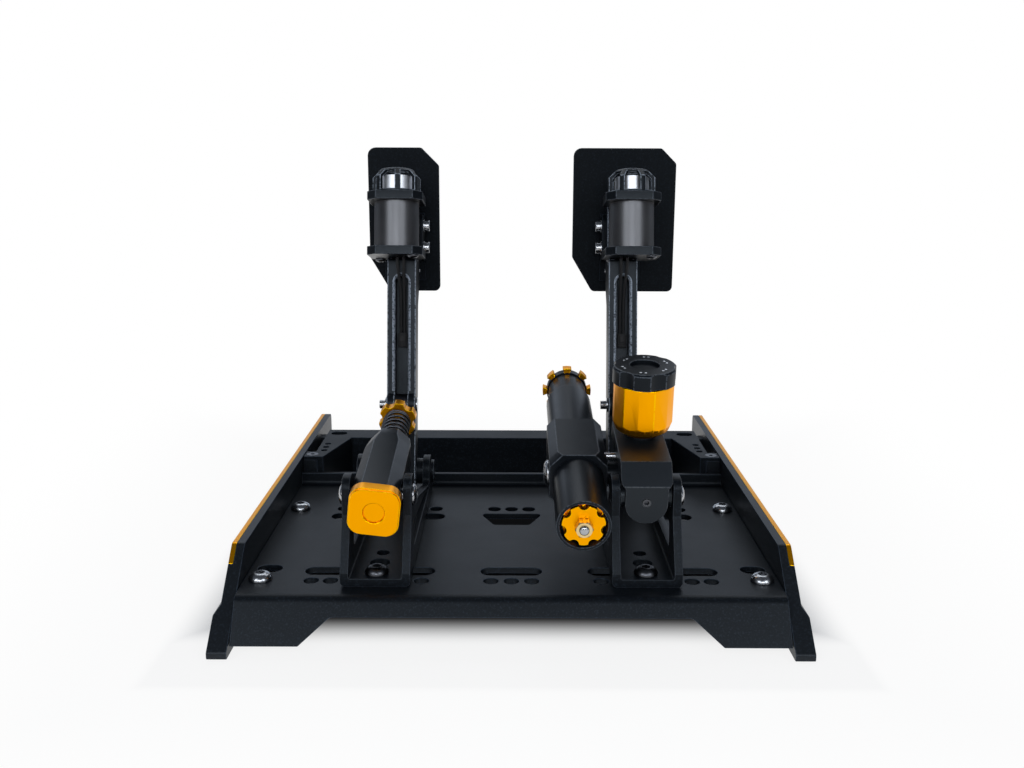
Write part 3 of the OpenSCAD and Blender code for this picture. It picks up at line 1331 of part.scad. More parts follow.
deck_plate();
left_side_plate();
right_side_plate();
trim_strips();
foot_pads();
deck_bolts();
front_crossbar();
crossbar_screws();
throttle_bracket();
throttle_bracket_bolts();
throttle_trunnion_bolts();
throttle_pivot_bushes();
throttle_pivot_axle();
throttle_arm();
throttle_clevis_pin();
throttle_motor_can();
throttle_motor_flanges();
throttle_motor_cage();
throttle_eccentric_mass();
throttle_motor_screws();
throttle_pedal_plate();
throttle_plate_mount();
throttle_mount_screws();
throttle_motor_lead();
throttle_tube();
throttle_end_knob();
throttle_rod();
throttle_spring();
throttle_star_nut();
throttle_sensor();
brake_bracket();
brake_bracket_bolts();
brake_trunnion_bolts();
brake_pivot_bushes();
brake_pivot_axle();
brake_arm();
brake_clevis_pin();
brake_motor_can();
brake_motor_flanges();
brake_motor_cage();
brake_eccentric_mass();
brake_motor_screws();
brake_pedal_plate();
brake_plate_mount();
brake_mount_screws();
brake_motor_lead();
brake_master_cylinder();
brake_gland();
brake_push_rod();
brake_pressure_sensor();
brake_reservoir_cup();
brake_reservoir_cap();
brake_slave_cylinder();
brake_link_fittings();
brake_preload_stud();
brake_preload_knob();
brake_elastomer_stack();
brake_slave_piston();
brake_end_collar();
brake_far_wheel();
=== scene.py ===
"""Looks of a two-pedal racing set: finishes, eased edges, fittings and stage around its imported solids."""

import json
import math

import bmesh
import bpy
from bpy.props import FloatProperty, FloatVectorProperty, IntProperty, PointerProperty
from mathutils import Matrix, Vector

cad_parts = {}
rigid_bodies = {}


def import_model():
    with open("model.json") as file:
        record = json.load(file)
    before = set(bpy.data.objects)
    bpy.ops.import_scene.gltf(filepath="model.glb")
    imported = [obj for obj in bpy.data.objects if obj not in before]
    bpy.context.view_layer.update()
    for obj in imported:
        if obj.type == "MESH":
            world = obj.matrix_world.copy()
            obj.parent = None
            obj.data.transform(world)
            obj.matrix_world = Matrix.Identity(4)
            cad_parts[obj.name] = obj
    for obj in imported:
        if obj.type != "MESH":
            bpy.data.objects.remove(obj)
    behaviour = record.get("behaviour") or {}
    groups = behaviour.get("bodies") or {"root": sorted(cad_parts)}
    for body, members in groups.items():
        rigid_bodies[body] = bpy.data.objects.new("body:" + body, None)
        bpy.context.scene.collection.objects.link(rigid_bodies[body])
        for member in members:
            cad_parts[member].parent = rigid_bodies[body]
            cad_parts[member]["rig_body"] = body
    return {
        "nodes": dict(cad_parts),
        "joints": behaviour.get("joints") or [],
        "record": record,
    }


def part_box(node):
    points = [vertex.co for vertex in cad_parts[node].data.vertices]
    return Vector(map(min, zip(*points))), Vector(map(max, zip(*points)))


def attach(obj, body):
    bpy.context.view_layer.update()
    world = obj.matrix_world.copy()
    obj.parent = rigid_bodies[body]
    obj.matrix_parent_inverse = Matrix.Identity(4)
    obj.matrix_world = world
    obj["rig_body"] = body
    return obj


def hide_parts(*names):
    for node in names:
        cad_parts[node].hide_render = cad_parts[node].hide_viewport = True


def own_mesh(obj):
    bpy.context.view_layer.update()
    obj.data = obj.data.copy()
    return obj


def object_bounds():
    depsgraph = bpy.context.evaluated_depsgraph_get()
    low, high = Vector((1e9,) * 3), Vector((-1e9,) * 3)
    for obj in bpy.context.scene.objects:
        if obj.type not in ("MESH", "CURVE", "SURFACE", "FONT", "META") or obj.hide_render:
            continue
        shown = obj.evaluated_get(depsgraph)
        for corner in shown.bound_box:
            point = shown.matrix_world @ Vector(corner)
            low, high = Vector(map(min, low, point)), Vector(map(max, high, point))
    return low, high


bl_info = {
    "name": "Racing pedal set",
    "version": (1, 0, 0),
    "blender": (4, 5, 0),
    "location": "3D View > Sidebar > Pedals",
    "description": "Dresses the packed solids of a racing pedal set",
    "category": "Object",
}

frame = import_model()
NODES = frame["nodes"]
CAD_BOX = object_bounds()
JOINTS = {j["name"]: j for j in frame["joints"]}
SLOTS = {s["node"]: s["material_slot"] for s in frame["record"]["subparts"]}
MM = 0.001
SIDES = {"throttle": -1, "brake": 1}

# Distance within which corners are one, and angles of edges: the most inside a flat face, the least that is
# eased and the least that shades sharp
SAME_POINT = 1e-6
FLAT_FACE = math.radians(0.6)
OUTER_EDGE = math.radians(30)
SHARP_EDGE = math.radians(32)

# Round of an eased edge, and the shares of a solid's volume between which easing its edges may leave it
EASING = {"segments": 2, "profile": 0.5, "affect": "EDGES"}
LEAST_LEFT = 0.9
MOST_LEFT = 1.0005

# Sides of round pieces
TURNED_STEPS = 48
SCREW_SIDES = 32
PIN_SIDES = 14
WIRE_SIDES = 12

# The photograph's width and focal length in pixels, and its camera's place, pitch and roll
IMAGE_W = 1024
FOCAL_PIXELS = 1070
CAMERA_PLACE = (0.0, -0.726, 0.2832)
CAMERA_PITCH = math.radians(-12.85)
CAMERA_ROLL = math.radians(0.2)

# Directions of the part and of its two leaning units, and the throttle's trunnion
ACROSS = Vector((1, 0, 0))
UP = Vector((0, 0, 1))
AWAY = Vector((0, 1, 0))
ALONG_CYLINDER = Vector(JOINTS["throttle_rod_slide"]["axis"])
ALONG_ARM = Vector(JOINTS["throttle_mass_spin"]["axis"])
TRUNNION = Vector(JOINTS["throttle_cylinder_tilt"]["pos_m"])


class PedalSizes(bpy.types.PropertyGroup):
    """Sizes that a user would change."""

    edge: FloatProperty(
        name="Eased edge", description="Width of the broken edges on metal", default=0.45 * MM,
        unit="LENGTH")
    arm_edge: FloatProperty(
        name="Arm edge", description="Width of the broken edges on the arms", default=0.8 * MM,
        unit="LENGTH")
    small_edge: FloatProperty(
        name="Small edge", description="Width of the broken edges on small steel pieces", default=0.22 * MM,
        unit="LENGTH")
    pad_edge: FloatProperty(
        name="Pad edge", description="Width of the round edges on the foot pads", default=0.28 * MM,
        unit="LENGTH")
    wire: FloatProperty(
        name="Spring wire", description="Diameter of the spring wire", default=1.8 * MM, unit="LENGTH")
    coil: FloatProperty(
        name="Spring width", description="Outer diameter of the spring", default=19 * MM, unit="LENGTH")
    turns: IntProperty(
        name="Spring turns", description="Turns of the spring with its closed ends", default=11, min=4)
    lead: FloatProperty(
        name="Lead", description="Diameter of a strand of a motor lead", default=2.2 * MM, unit="LENGTH")
    turn_seed: IntProperty(
        name="Turn seed", description="Seed for how far each screw is turned", default=7, min=0)


class PedalColours(bpy.types.PropertyGroup):
    """Colours that a user would change."""

    coat: FloatVectorProperty(
        name="Coat", description="Powder coat of the steel plates", default=(0.0032, 0.0044, 0.0062),
        subtype="COLOR")
    black: FloatVectorProperty(
        name="Black metal", description="Black anodised metal", default=(0.0040, 0.0054, 0.0074),
        subtype="COLOR")
    amber: FloatVectorProperty(
        name="Amber metal", description="Amber anodised metal", default=(1.0, 0.385, 0.0), subtype="COLOR")
    can: FloatVectorProperty(
        name="Motor can", description="Grey of the motor cans", default=(0.115, 0.116, 0.122),
        subtype="COLOR")
    warm: FloatVectorProperty(
        name="Warm steel", description="Yellow plated nut of the preload stud", default=(0.78, 0.6, 0.3),
        subtype="COLOR")
    steel: FloatVectorProperty(
        name="Bright steel", description="Screws and pins", default=(0.44, 0.45, 0.47), subtype="COLOR")
    dark: FloatVectorProperty(
        name="Dark steel", description="Blackened steel", default=(0.05, 0.052, 0.058), subtype="COLOR")
    rubber: FloatVectorProperty(
        name="Rubber", description="Foot pads, leads and discs", default=(0.012, 0.012, 0.013),
        subtype="COLOR")


class Flow:
    """A socket of a node tree under construction; arithmetic on it adds Math nodes."""

    def __init__(self, tree, socket):
        self.tree = tree
        self.socket = socket

    def math(self, operation, a, b=0.0):
        return self.tree.node("ShaderNodeMath", {"operation": operation}, {0: a, 1: b})

    def of(self, operation):
        """What an operation makes of this value alone, such as its sine."""
        return self.math(operation, self)

    def __add__(self, other):
        return self.math("ADD", self, other)

    def __radd__(self, other):
        return self.math("ADD", other, self)

    def __sub__(self, other):
        return self.math("SUBTRACT", self, other)

    def __rsub__(self, other):
        return self.math("SUBTRACT", other, self)

    def __mul__(self, other):
        return self.math("MULTIPLY", self, other)

    def __rmul__(self, other):
        return self.math("MULTIPLY", other, self)

    def __truediv__(self, other):
        return self.math("DIVIDE", self, other)

    def __rtruediv__(self, other):
        return self.math("DIVIDE", other, self)

    def least(self, other):
        return self.math("MINIMUM", self, other)

    def most(self, other):
        return self.math("MAXIMUM", self, other)


class Nodes:
    """A node tree under construction."""

    def __init__(self, tree):
        self.tree = tree

    def node(self, kind, settings=None, values=None, output=0):
        """Any node: its settings first, then the values or links of its sockets.

        index_items sets how many items an Index Switch has. A node that ends its tree gives nothing back.
        """
        made = self.tree.nodes.new(kind)
        for key, value in (settings or {}).items():
            if key == "index_items":
                while len(made.index_switch_items) < value:
                    made.index_switch_items.new()
            else:
                setattr(made, key, value)
        for key, value in (values or {}).items():
            if isinstance(value, Flow):
                self.tree.links.new(value.socket, made.inputs[key])
            else:
                made.inputs[key].default_value = value
        return Flow(self, made.outputs[output]) if made.outputs else None

    def parts(self, vector):
        """The three numbers of a vector."""
        return [self.node("ShaderNodeSeparateXYZ", None, {0: vector}, output=i) for i in range(3)]

    def ramp(self, value, low, high, start=0.0, stop=1.0, kind="LINEAR"):
        """Start below low and stop above high, straight or smooth between."""
        return self.node("ShaderNodeMapRange", {"clamp": True, "interpolation_type": kind}, {
            "Value": value, "From Min": low, "From Max": high, "To Min": start, "To Max": stop})

    def band(self, value, low, high):
        """0 below low and 1 above high, smooth between."""
        return self.ramp(value, low, high, kind="SMOOTHSTEP")

    def mix(self, share, first, second):
        """Colour between two, by share."""
        return self.node("ShaderNodeMix", {"data_type": "RGBA"}, {
            0: share, 6: rgba(first), 7: rgba(second)}, output=2)

    def rays(self):
        """1 for rays from the camera, rays off shiny surfaces and rays through glass, in that order."""
        return [self.node("ShaderNodeLightPath", output=f"Is {kind} Ray")
                for kind in ("Camera", "Glossy", "Transmission")]


class Finish(Nodes):
    """A material's node tree: a Principled shader and what feeds it."""

    def __init__(self, name):
        self.material = bpy.data.materials.new(name)
        self.material.use_nodes = True
        super().__init__(self.material.node_tree)
        self.tree.nodes.clear()

    def noise(self, size, detail=2.0, stretch=(1, 1, 1)):
        """Noise from 0 to 1 whose blotches are about size metres across."""
        place = self.node("ShaderNodeTexCoord", output="Object")
        place = self.node("ShaderNodeMapping", None, {"Vector": place, "Scale": stretch})
        return self.node("ShaderNodeTexNoise", None, {"Vector": place, "Scale": 1 / size, "Detail": detail})

    def rim(self):
        """1 on eased edges, 0 elsewhere."""
        return self.node("ShaderNodeAttribute", {"attribute_name": "rim"}, output="Fac")

    def bump(self, height, depth, strength):
        return self.node("ShaderNodeBump", None, {"Height": height, "Distance": depth, "Strength": strength})

    def shade(self, **values):
        """Close the material with a Principled shader."""
        keys = {key.replace("_", " "): value for key, value in values.items()}
        return self.close(self.node("ShaderNodeBsdfPrincipled", None, keys))

    def close(self, shader):
        self.node("ShaderNodeOutputMaterial", None, {"Surface": shader})
        return self.material


class Shape(Nodes):
    """A Geometry Nodes tree with named sizes, which ends in Realize Instances and Set Material."""

    def __init__(self, name, *sizes):
        super().__init__(bpy.data.node_groups.new(name, "GeometryNodeTree"))
        sockets = [("Points", "Geometry")] + [(size, "Float") for size in sizes] + [("Finish", "Material")]
        for label, kind in sockets:
            self.tree.interface.new_socket(label, in_out="INPUT", socket_type="NodeSocket" + kind)
        self.tree.interface.new_socket("Made", in_out="OUTPUT", socket_type="NodeSocketGeometry")

    def size(self, name):
        return self.node("NodeGroupInput", output=name)

    def place(self, x, y, z):
        return self.node("ShaderNodeCombineXYZ", None, {0: x, 1: y, 2: z})

    def on_points(self, made, seed):
        """Set a shape on every point, its Z along the point's axis, turned at random about it."""
        axis = self.node("GeometryNodeInputNamedAttribute", {"data_type": "FLOAT_VECTOR"}, {"Name": "axis"})
        lie = self.node("FunctionNodeAlignRotationToVector", {"axis": "Z"}, {"Vector": axis})
        spin = self.node("FunctionNodeRandomValue", {"data_type": "FLOAT"}, {
            2: 0.0, 3: 2 * math.pi, "Seed": seed}, output=1)
        turn = self.node("FunctionNodeEulerToRotation", None, {0: self.place(0.0, 0.0, spin)})
        turned_lie = self.node("FunctionNodeRotateRotation", {"rotation_space": "LOCAL"}, {0: lie, 1: turn})
        return self.node("GeometryNodeInstanceOnPoints", None, {
            "Points": self.size("Points"), "Instance": made, "Rotation": turned_lie})

    def close(self, made):
        whole = self.node("GeometryNodeRealizeInstances", None, {0: made})
        done = self.node("GeometryNodeSetMaterial", None, {0: whole, "Material": self.size("Finish")})
        self.node("NodeGroupOutput", None, {"Made": done})
        return self

    def run(self, name, finish, sizes, seats=(), matrix=None):
        """Plain mesh object that the tree makes on the seats, which are pairs of a place and an axis."""
        mesh = bpy.data.meshes.new(name)
        mesh.from_pydata([place for place, _ in seats], [], [])
        axes = mesh.attributes.new("axis", "FLOAT_VECTOR", "POINT")
        axes.data.foreach_set("vector", [c for _, axis in seats for c in axis])
        piece = bpy.data.objects.new(name, mesh)
        bpy.context.scene.collection.objects.link(piece)
        modifier = piece.modifiers.new("made", "NODES")
        modifier.node_group = self.tree
        for item in self.tree.interface.items_tree:
            if item.in_out == "INPUT" and item.name in sizes:
                modifier[item.identifier] = sizes[item.name]
            elif item.in_out == "INPUT" and item.name == "Finish":
                modifier[item.identifier] = FINISHES[finish]
        graph = bpy.context.evaluated_depsgraph_get()
        plain = bpy.data.meshes.new_from_object(piece.evaluated_get(graph))
        piece.modifiers.clear()
        piece.data = plain
        if matrix:
            plain.transform(matrix)
        smooth(plain)
        return piece


def rgba(colour):
    """A colour with its alpha, or a link as it is."""
    return colour if isinstance(colour, Flow) else (*colour[:3], 1.0)


def times(colour, factor):
    """A lighter or darker colour."""
    return tuple(min(1.0, c * factor) for c in colour)


# Filled by the stage, before the first piece
FINISHES = {}

WHITE = (1.0, 1.0, 1.0, 1.0)
COOL = (0.82, 0.91, 1.0, 1.0)

# Paler tones painted on eased edges over a black finish: painted highlights where the edges catch light,
# with a little wear
RIM_HIGHLIGHT_AND_WEAR_BRACKET = (0.04, 0.047, 0.057)
RIM_HIGHLIGHT_AND_WEAR_BLACK = (0.07, 0.08, 0.095)
RIM_HIGHLIGHT_AND_WEAR_SATIN = (0.05, 0.055, 0.06)
RIM_HIGHLIGHT_AND_WEAR_ARM = (0.3, 0.34, 0.4)


def powder_coat(name, colour, rough, spec, rim=None):
    """Satin powder coat: fine orange peel, specks, faint cloudiness, and eased edges painted paler, a
    painted highlight with a little wear.
    """
    f = Finish(name)
    peel = f.noise(0.7 * MM, 1.5)
    cloud = f.noise(28 * MM, 3.0)
    fine = f.noise(1.1 * MM, 2.0)
    # Eased edges painted paler in speckles: a painted highlight where the edges catch light, with a little
    # wear
    lit_and_worn_edge = f.rim() * (0.2 + 0.5 * fine)
    body = f.mix(cloud, times(colour, 0.85), times(colour, 1.2))
    speck = f.mix(f.band(fine, 0.5, 0.72) * 0.7, body, times(colour, 4.0))
    return f.shade(
        # The rim tone is a painted edge highlight with a little wear
        Base_Color=f.mix(lit_and_worn_edge, speck, rim or times(colour, 12.0)),
        Roughness=rough + 0.1 * (cloud - 0.5) + 0.12 * (fine - 0.5),
        Normal=f.bump(peel, 0.04 * MM, 0.6),
        Specular_Tint=COOL,
        Specular_IOR_Level=spec)


def anodised(name, colour, rough, metal=0.0, spec=0.5, rim=None, tint=WHITE):
    """Bead-blasted and anodised metal: even matt grain, soft sheen, and pale speckled rims, a painted
    highlight with a little wear.
    """
    f = Finish(name)
    grain = f.noise(0.22 * MM, 1.0)
    speck = f.noise(1.3 * MM, 1.0)
    cloud = f.noise(14 * MM, 2.0)
    # Pale speckles painted on eased edges: a painted highlight where the edges catch light, with a little
    # wear
    edge = f.rim() * f.band(speck, 0.25, 0.6)
    body = f.mix(cloud, times(colour, 0.92), times(colour, 1.08))
    return f.shade(
        Base_Color=f.mix(edge * 0.8, body, rim or times(colour, 1.5)),
        Metallic=metal,
        Roughness=rough + 0.1 * (cloud - 0.5) + 0.08 * (grain - 0.5),
        Normal=f.bump(grain, 0.008 * MM, 0.5),
        Specular_Tint=tint,
        Specular_IOR_Level=spec)


def turned_steel(name, colour, rough):
    """Bright or blackened steel with faint tool marks and fingered patches."""
    f = Finish(name)
    marks = f.noise(0.25 * MM, 2.0, (1, 1, 4))
    cloud = f.noise(5 * MM, 2.0)
    return f.shade(
        Base_Color=f.mix(cloud, times(colour, 0.8), times(colour, 1.12)),
        Metallic=1.0,
        Roughness=rough + 0.14 * (cloud - 0.5) + 0.1 * (marks - 0.5),
        Normal=f.bump(marks, 0.004 * MM, 0.5))


def moulded_rubber(name, colour):
    """Matt rubber with a moulded grain and a trace of dust."""
    f = Finish(name)
    grain = f.noise(0.6 * MM, 3.0)
    dust = f.band(f.noise(6 * MM, 4.0), 0.55, 0.8)
    return f.shade(
        Base_Color=f.mix(dust * 0.4, colour, times(colour, 3.0)),
        Roughness=0.72 + 0.2 * (grain - 0.5),
        Normal=f.bump(grain, 0.05 * MM, 0.5),
        Specular_IOR_Level=0.3)


def make_finishes(colours):
    """Make every finish, by the name that a piece asks for."""
    FINISHES.update({
        "black_coat": powder_coat("satin_powder_coat", colours.coat, rough=0.42, spec=0.19),
        "side_coat": powder_coat("side_powder_coat", colours.coat, rough=0.42, spec=0.34),
        "bar_coat": powder_coat("crossbar_powder_coat", colours.coat, rough=0.45, spec=0.14),
        # Painted shade: the same coat darkened for the pedal plates and their mounts, whose faces stand in
        # shade
        "plate_coat": powder_coat("pedal_powder_coat", times(colours.coat, 0.65), rough=0.5, spec=0.09),
        "bracket_coat": powder_coat(
            "bracket_powder_coat", colours.coat, rough=0.4, spec=0.14, rim=RIM_HIGHLIGHT_AND_WEAR_BRACKET),
        "black_metal": anodised(
            "black_anodised", colours.black, rough=0.32, spec=0.18, rim=RIM_HIGHLIGHT_AND_WEAR_BLACK, tint=COOL),
        "satin_metal": anodised(
            "satin_anodised", times(colours.black, 1.2), rough=0.42, spec=0.36, rim=RIM_HIGHLIGHT_AND_WEAR_SATIN, tint=COOL),
        "arm_metal": anodised("arm_anodised", colours.black, rough=0.38, spec=0.2, rim=RIM_HIGHLIGHT_AND_WEAR_ARM, tint=COOL),
        "black_can": anodised("black_can", colours.can, rough=0.38, metal=1.0),
        "amber_metal": anodised("amber_anodised", colours.amber, rough=0.34, metal=1.0),
        "warm_steel": turned_steel("warm_steel", colours.warm, rough=0.34),
        "bright_steel": turned_steel("bright_steel", colours.steel, rough=0.24),
        "cast_steel": turned_steel("cast_steel", times(colours.steel, 1.7), rough=0.42),
        "dark_steel": turned_steel("dark_steel", times(colours.dark, 1.6), rough=0.3),
        "soft_black": moulded_rubber("moulded_rubber", colours.rubber),
    })


def mount_piece(piece, body, finish, slot, *replaced):
    """Give a finished piece its material and body; its record slot is not used."""
    piece.data.materials.clear()
    piece.data.materials.append(FINISHES[finish])
    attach(piece, body)
    if replaced:
        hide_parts(*replaced)
    return piece


def body_of(node):
    """Name of the body that a node rides on."""
    return NODES[node]["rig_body"]


def smooth(mesh):
    """Smooth shading that stops at sharp edges."""
    mesh.polygons.foreach_set("use_smooth", [True] * len(mesh.polygons))
    mesh.set_sharp_from_angle(angle=SHARP_EDGE)


def mesh_piece(name, bm):
    """Object at the origin from a bmesh."""
    mesh = bpy.data.meshes.new(name)
    bm.to_mesh(mesh)
    bm.free()
    smooth(mesh)
    piece = bpy.data.objects.new(name, mesh)
    bpy.context.scene.collection.objects.link(piece)
    return piece


def settle(pieces):
    """Bake normals that follow the large faces, so that flats shade flat beside their eased edges."""
    for piece in pieces:
        modifier = piece.modifiers.new("flats", "WEIGHTED_NORMAL")
        modifier.keep_sharp = True
        modifier.weight = 100
    graph = bpy.context.evaluated_depsgraph_get()
    plain = [bpy.data.meshes.new_from_object(piece.evaluated_get(graph)) for piece in pieces]
    for piece, mesh in zip(pieces, plain):
        piece.modifiers.clear()
        piece.data = mesh


def lying(axis, place):
    """Matrix that takes Z to axis and the origin to place."""
    z = Vector(axis).normalized()
    x = ACROSS if abs(z.x) < 0.9 else AWAY
    y = z.cross(x).normalized()
    return Matrix.Translation(place) @ Matrix((y.cross(z), y, z)).transposed().to_4x4()


def is_outer(edge, least):
    """Whether two faces meet at an edge that stands out by more than the least angle."""
    return len(edge.link_faces) == 2 and edge.calc_face_angle_signed(0.0) > least


def solid_copy(node):
    """Solid as a bmesh with merged corners and whole flat faces."""
    bm = bmesh.new()
    bm.from_mesh(NODES[node].data)
    bmesh.ops.remove_doubles(bm, verts=bm.verts, dist=SAME_POINT)
    bmesh.ops.dissolve_limit(bm, angle_limit=FLAT_FACE, verts=bm.verts, edges=bm.edges)
    return bm


def eased(node, width, change=None, end="_finished"):
    """Copy of a solid, changed where asked, with its outer edges broken and marked as rims.

    A solid that breaking its edges would spoil stays plain.
    """
    bm = solid_copy(node)
    if change:
        change(bm)
    before = bm.calc_volume()
    plain = bm.copy()
    mark = bm.faces.layers.float.new("rim")
    outer = [e for e in bm.edges if is_outer(e, OUTER_EDGE)]
    made = bmesh.ops.bevel(
        bm, geom=outer, offset=width, offset_type="OFFSET", clamp_overlap=False, **EASING)
    for face in made["faces"]:
        face[mark] = 1.0
    after = bm.calc_volume()
    if not before * LEAST_LEFT < after <= before * MOST_LEFT:
        print("kept plain", node, before, after)
        bm.free()
        bm = plain
    else:
        plain.free()
    return mesh_piece(node + end, bm)


def islands(node):
    """Corner points of each closed shell of a solid, in the order of the solid's corners."""
    bm = bmesh.new()
    bm.from_mesh(NODES[node].data)
    bmesh.ops.remove_doubles(bm, verts=bm.verts, dist=SAME_POINT)
    met = set()
    found = []
    for first in bm.verts:
        if first in met:
            continue
        met.add(first)
        reached = [first]
        for vert in reached:
            for edge in vert.link_edges:
                other = edge.other_vert(vert)
                if other not in met:
                    met.add(other)
                    reached.append(other)
        found.append([vert.co.copy() for vert in reached])
    bm.free()
    return found


def turned(profile):
    """Bmesh of a profile, in mm from the axis and along it, spun about Z."""
    bm = bmesh.new()
    line = [bm.verts.new((r * MM, 0.0, z * MM)) for r, z in profile]
    wire = [bm.edges.new(pair) for pair in zip(line, line[1:])]
    bmesh.ops.spin(
        bm, geom=line + wire, axis=UP, cent=(0, 0, 0), steps=TURNED_STEPS, angle=math.tau, use_merge=True)
    bmesh.ops.remove_doubles(bm, verts=bm.verts, dist=SAME_POINT)
    bmesh.ops.recalc_face_normals(bm, faces=bm.faces)
    return bm


def hexagon_nut(bm, place, flat_r, bore_r, tall, sides=24):
    """Add a nut with chamfered corners: half its width across flats, its bore's radius and height, in mm."""
    half = math.pi / 6
    corner = flat_r / math.cos(half)
    chamfer = 0.1 * tall
    levels = ((bore_r, False, 0.0), (flat_r, False, 0.0), (corner, True, chamfer),
              (corner, True, tall - chamfer), (flat_r, False, tall), (bore_r, False, tall))
    rings = []
    for radius, is_hexagon, z in levels:
        ring = []
        for i in range(sides):
            a = math.tau * i / sides
            pull = math.cos(half) / math.cos(a % (2 * half) - half) if is_hexagon else 1.0
            spot = Vector((radius * pull * math.cos(a), radius * pull * math.sin(a), z)) * MM
            ring.append(bm.verts.new(place @ spot))
        rings.append(ring)
    for a, b in zip(rings, rings[1:] + rings[:1]):
        for i in range(sides):
            bm.faces.new((a[i], a[(i + 1) % sides], b[(i + 1) % sides], b[i]))
    bmesh.ops.recalc_face_normals(bm, faces=bm.faces)


def extents(points, axis):
    """Lowest and highest corners of points in the frame whose Z is axis."""
    turn = lying(axis, (0, 0, 0)).inverted()
    local = [turn @ p for p in points]
    return [Vector([pick(p[i] for p in local) for i in range(3)]) for pick in (min, max)]


# Rings of a screw from its tip to its crown: share of shank or head width, then share of length or height
SCREW_RINGS = {
    "button": (("Shank", 0.8, -1.0), ("Shank", 1.0, -0.95), ("Shank", 1.0, 0.0), ("Head", 0.96, 0.0),
               ("Head", 1.0, 0.06), ("Head", 1.0, 0.24), ("Head", 0.975, 0.38), ("Head", 0.92, 0.54),
               ("Head", 0.84, 0.69), ("Head", 0.74, 0.82), ("Head", 0.63, 0.92), ("Head", 0.53, 0.98),
               ("Head", 0.47, 1.0)),
    "cap": (("Shank", 0.8, -1.0), ("Shank", 1.0, -0.97), ("Shank", 1.0, 0.0), ("Head", 1.17, 0.0),
            ("Head", 1.19, 0.03), ("Head", 1.19, 0.14), ("Head", 1.17, 0.17), ("Head", 1.0, 0.17),
            ("Head", 1.0, 0.86), ("Head", 0.98, 0.93), ("Head", 0.93, 0.98), ("Head", 0.86, 1.0)),
    "flush": (("Shank", 0.8, -1.0), ("Shank", 1.0, -0.95), ("Shank", 1.0, 0.0), ("Head", 1.0, 0.0),
              ("Head", 1.0, 0.9), ("Head", 0.97, 1.0)),
}

# Depth of a socket, as a share of its head's height
SOCKET_DEPTH = 0.55


class Screw:
    """Style and sizes of a screw: head width and height, shank width and length, socket width, in mm."""

    def __init__(self, style, head, height, shank, length, socket):
        self.style = style
        self.tall = (height + length) * MM
        self.wide = head * MM * max(share for kind, share, _ in SCREW_RINGS[style] if kind == "Head")
        self.seat = height * MM
        self.sizes = {"Head width": head * MM, "Head height": height * MM, "Shank width": shank * MM,
                      "Shank length": length * MM, "Socket width": socket * MM}

    def seats(self, shells, axis):
        """Seats of the shells that are this screw along the axis: the point under the head, and the axis."""
        slack = 0.7 * MM
        found = []
        for points in shells:
            low, high = extents(points, axis)
            misfit = high - low - Vector((self.wide, self.wide, self.tall))
            if all(abs(part) < slack for part in misfit):
                middle = Vector(((low.x + high.x) / 2, (low.y + high.y) / 2, high.z - self.seat))
                found.append((lying(axis, (0, 0, 0)) @ middle, Vector(axis)))
        return found


def screw_shape(style, seed):
    """Tree of a screw: a ringed cylinder drawn to its profile, with a hexagon socket sunk in the crown."""
    rings = SCREW_RINGS[style]
    s = Shape(style + "_screw", "Head width", "Head height", "Shank width", "Shank length", "Socket width")
    last = len(rings) - 1
    rod = s.node("GeometryNodeMeshCylinder", {"fill_type": "NGON"}, {
        "Vertices": SCREW_SIDES, "Side Segments": last, "Radius": 1.0, "Depth": float(last)})
    x, y, z = s.parts(s.node("GeometryNodeInputPosition"))
    ring = s.node("FunctionNodeFloatToInt", {"rounding_mode": "ROUND"}, {0: z + last / 2})
    widths = {"Shank": s.size("Shank width"), "Head": s.size("Head width")}
    radius = {"Index": ring}
    height = {"Index": ring}
    for i, (kind, share, rise) in enumerate(rings):
        radius[i + 1] = widths[kind] * (share / 2)
        height[i + 1] = (s.size("Shank length") if rise < 0 else s.size("Head height")) * rise
    switch = {"data_type": "FLOAT", "index_items": len(rings)}
    r = s.node("GeometryNodeIndexSwitch", switch, radius)
    h = s.node("GeometryNodeIndexSwitch", switch, height)
    body = s.node("GeometryNodeSetPosition", None, {"Geometry": rod, "Position": s.place(x * r, y * r, h)})
    deep = s.size("Head height") * SOCKET_DEPTH
    corner = s.size("Socket width") * (0.5 / math.cos(math.pi / 6))
    key = s.node("GeometryNodeMeshCylinder", {"fill_type": "NGON"}, {
        "Vertices": 6, "Radius": corner, "Depth": deep * 2.0})
    key = s.node("GeometryNodeTransform", None, {
        "Geometry": key, "Translation": s.place(0.0, 0.0, s.size("Head height"))})
    cut = s.node("GeometryNodeMeshBoolean", {"operation": "DIFFERENCE"}, {"Mesh 1": body, "Mesh 2": key})
    return s.close(s.on_points(cut, seed))


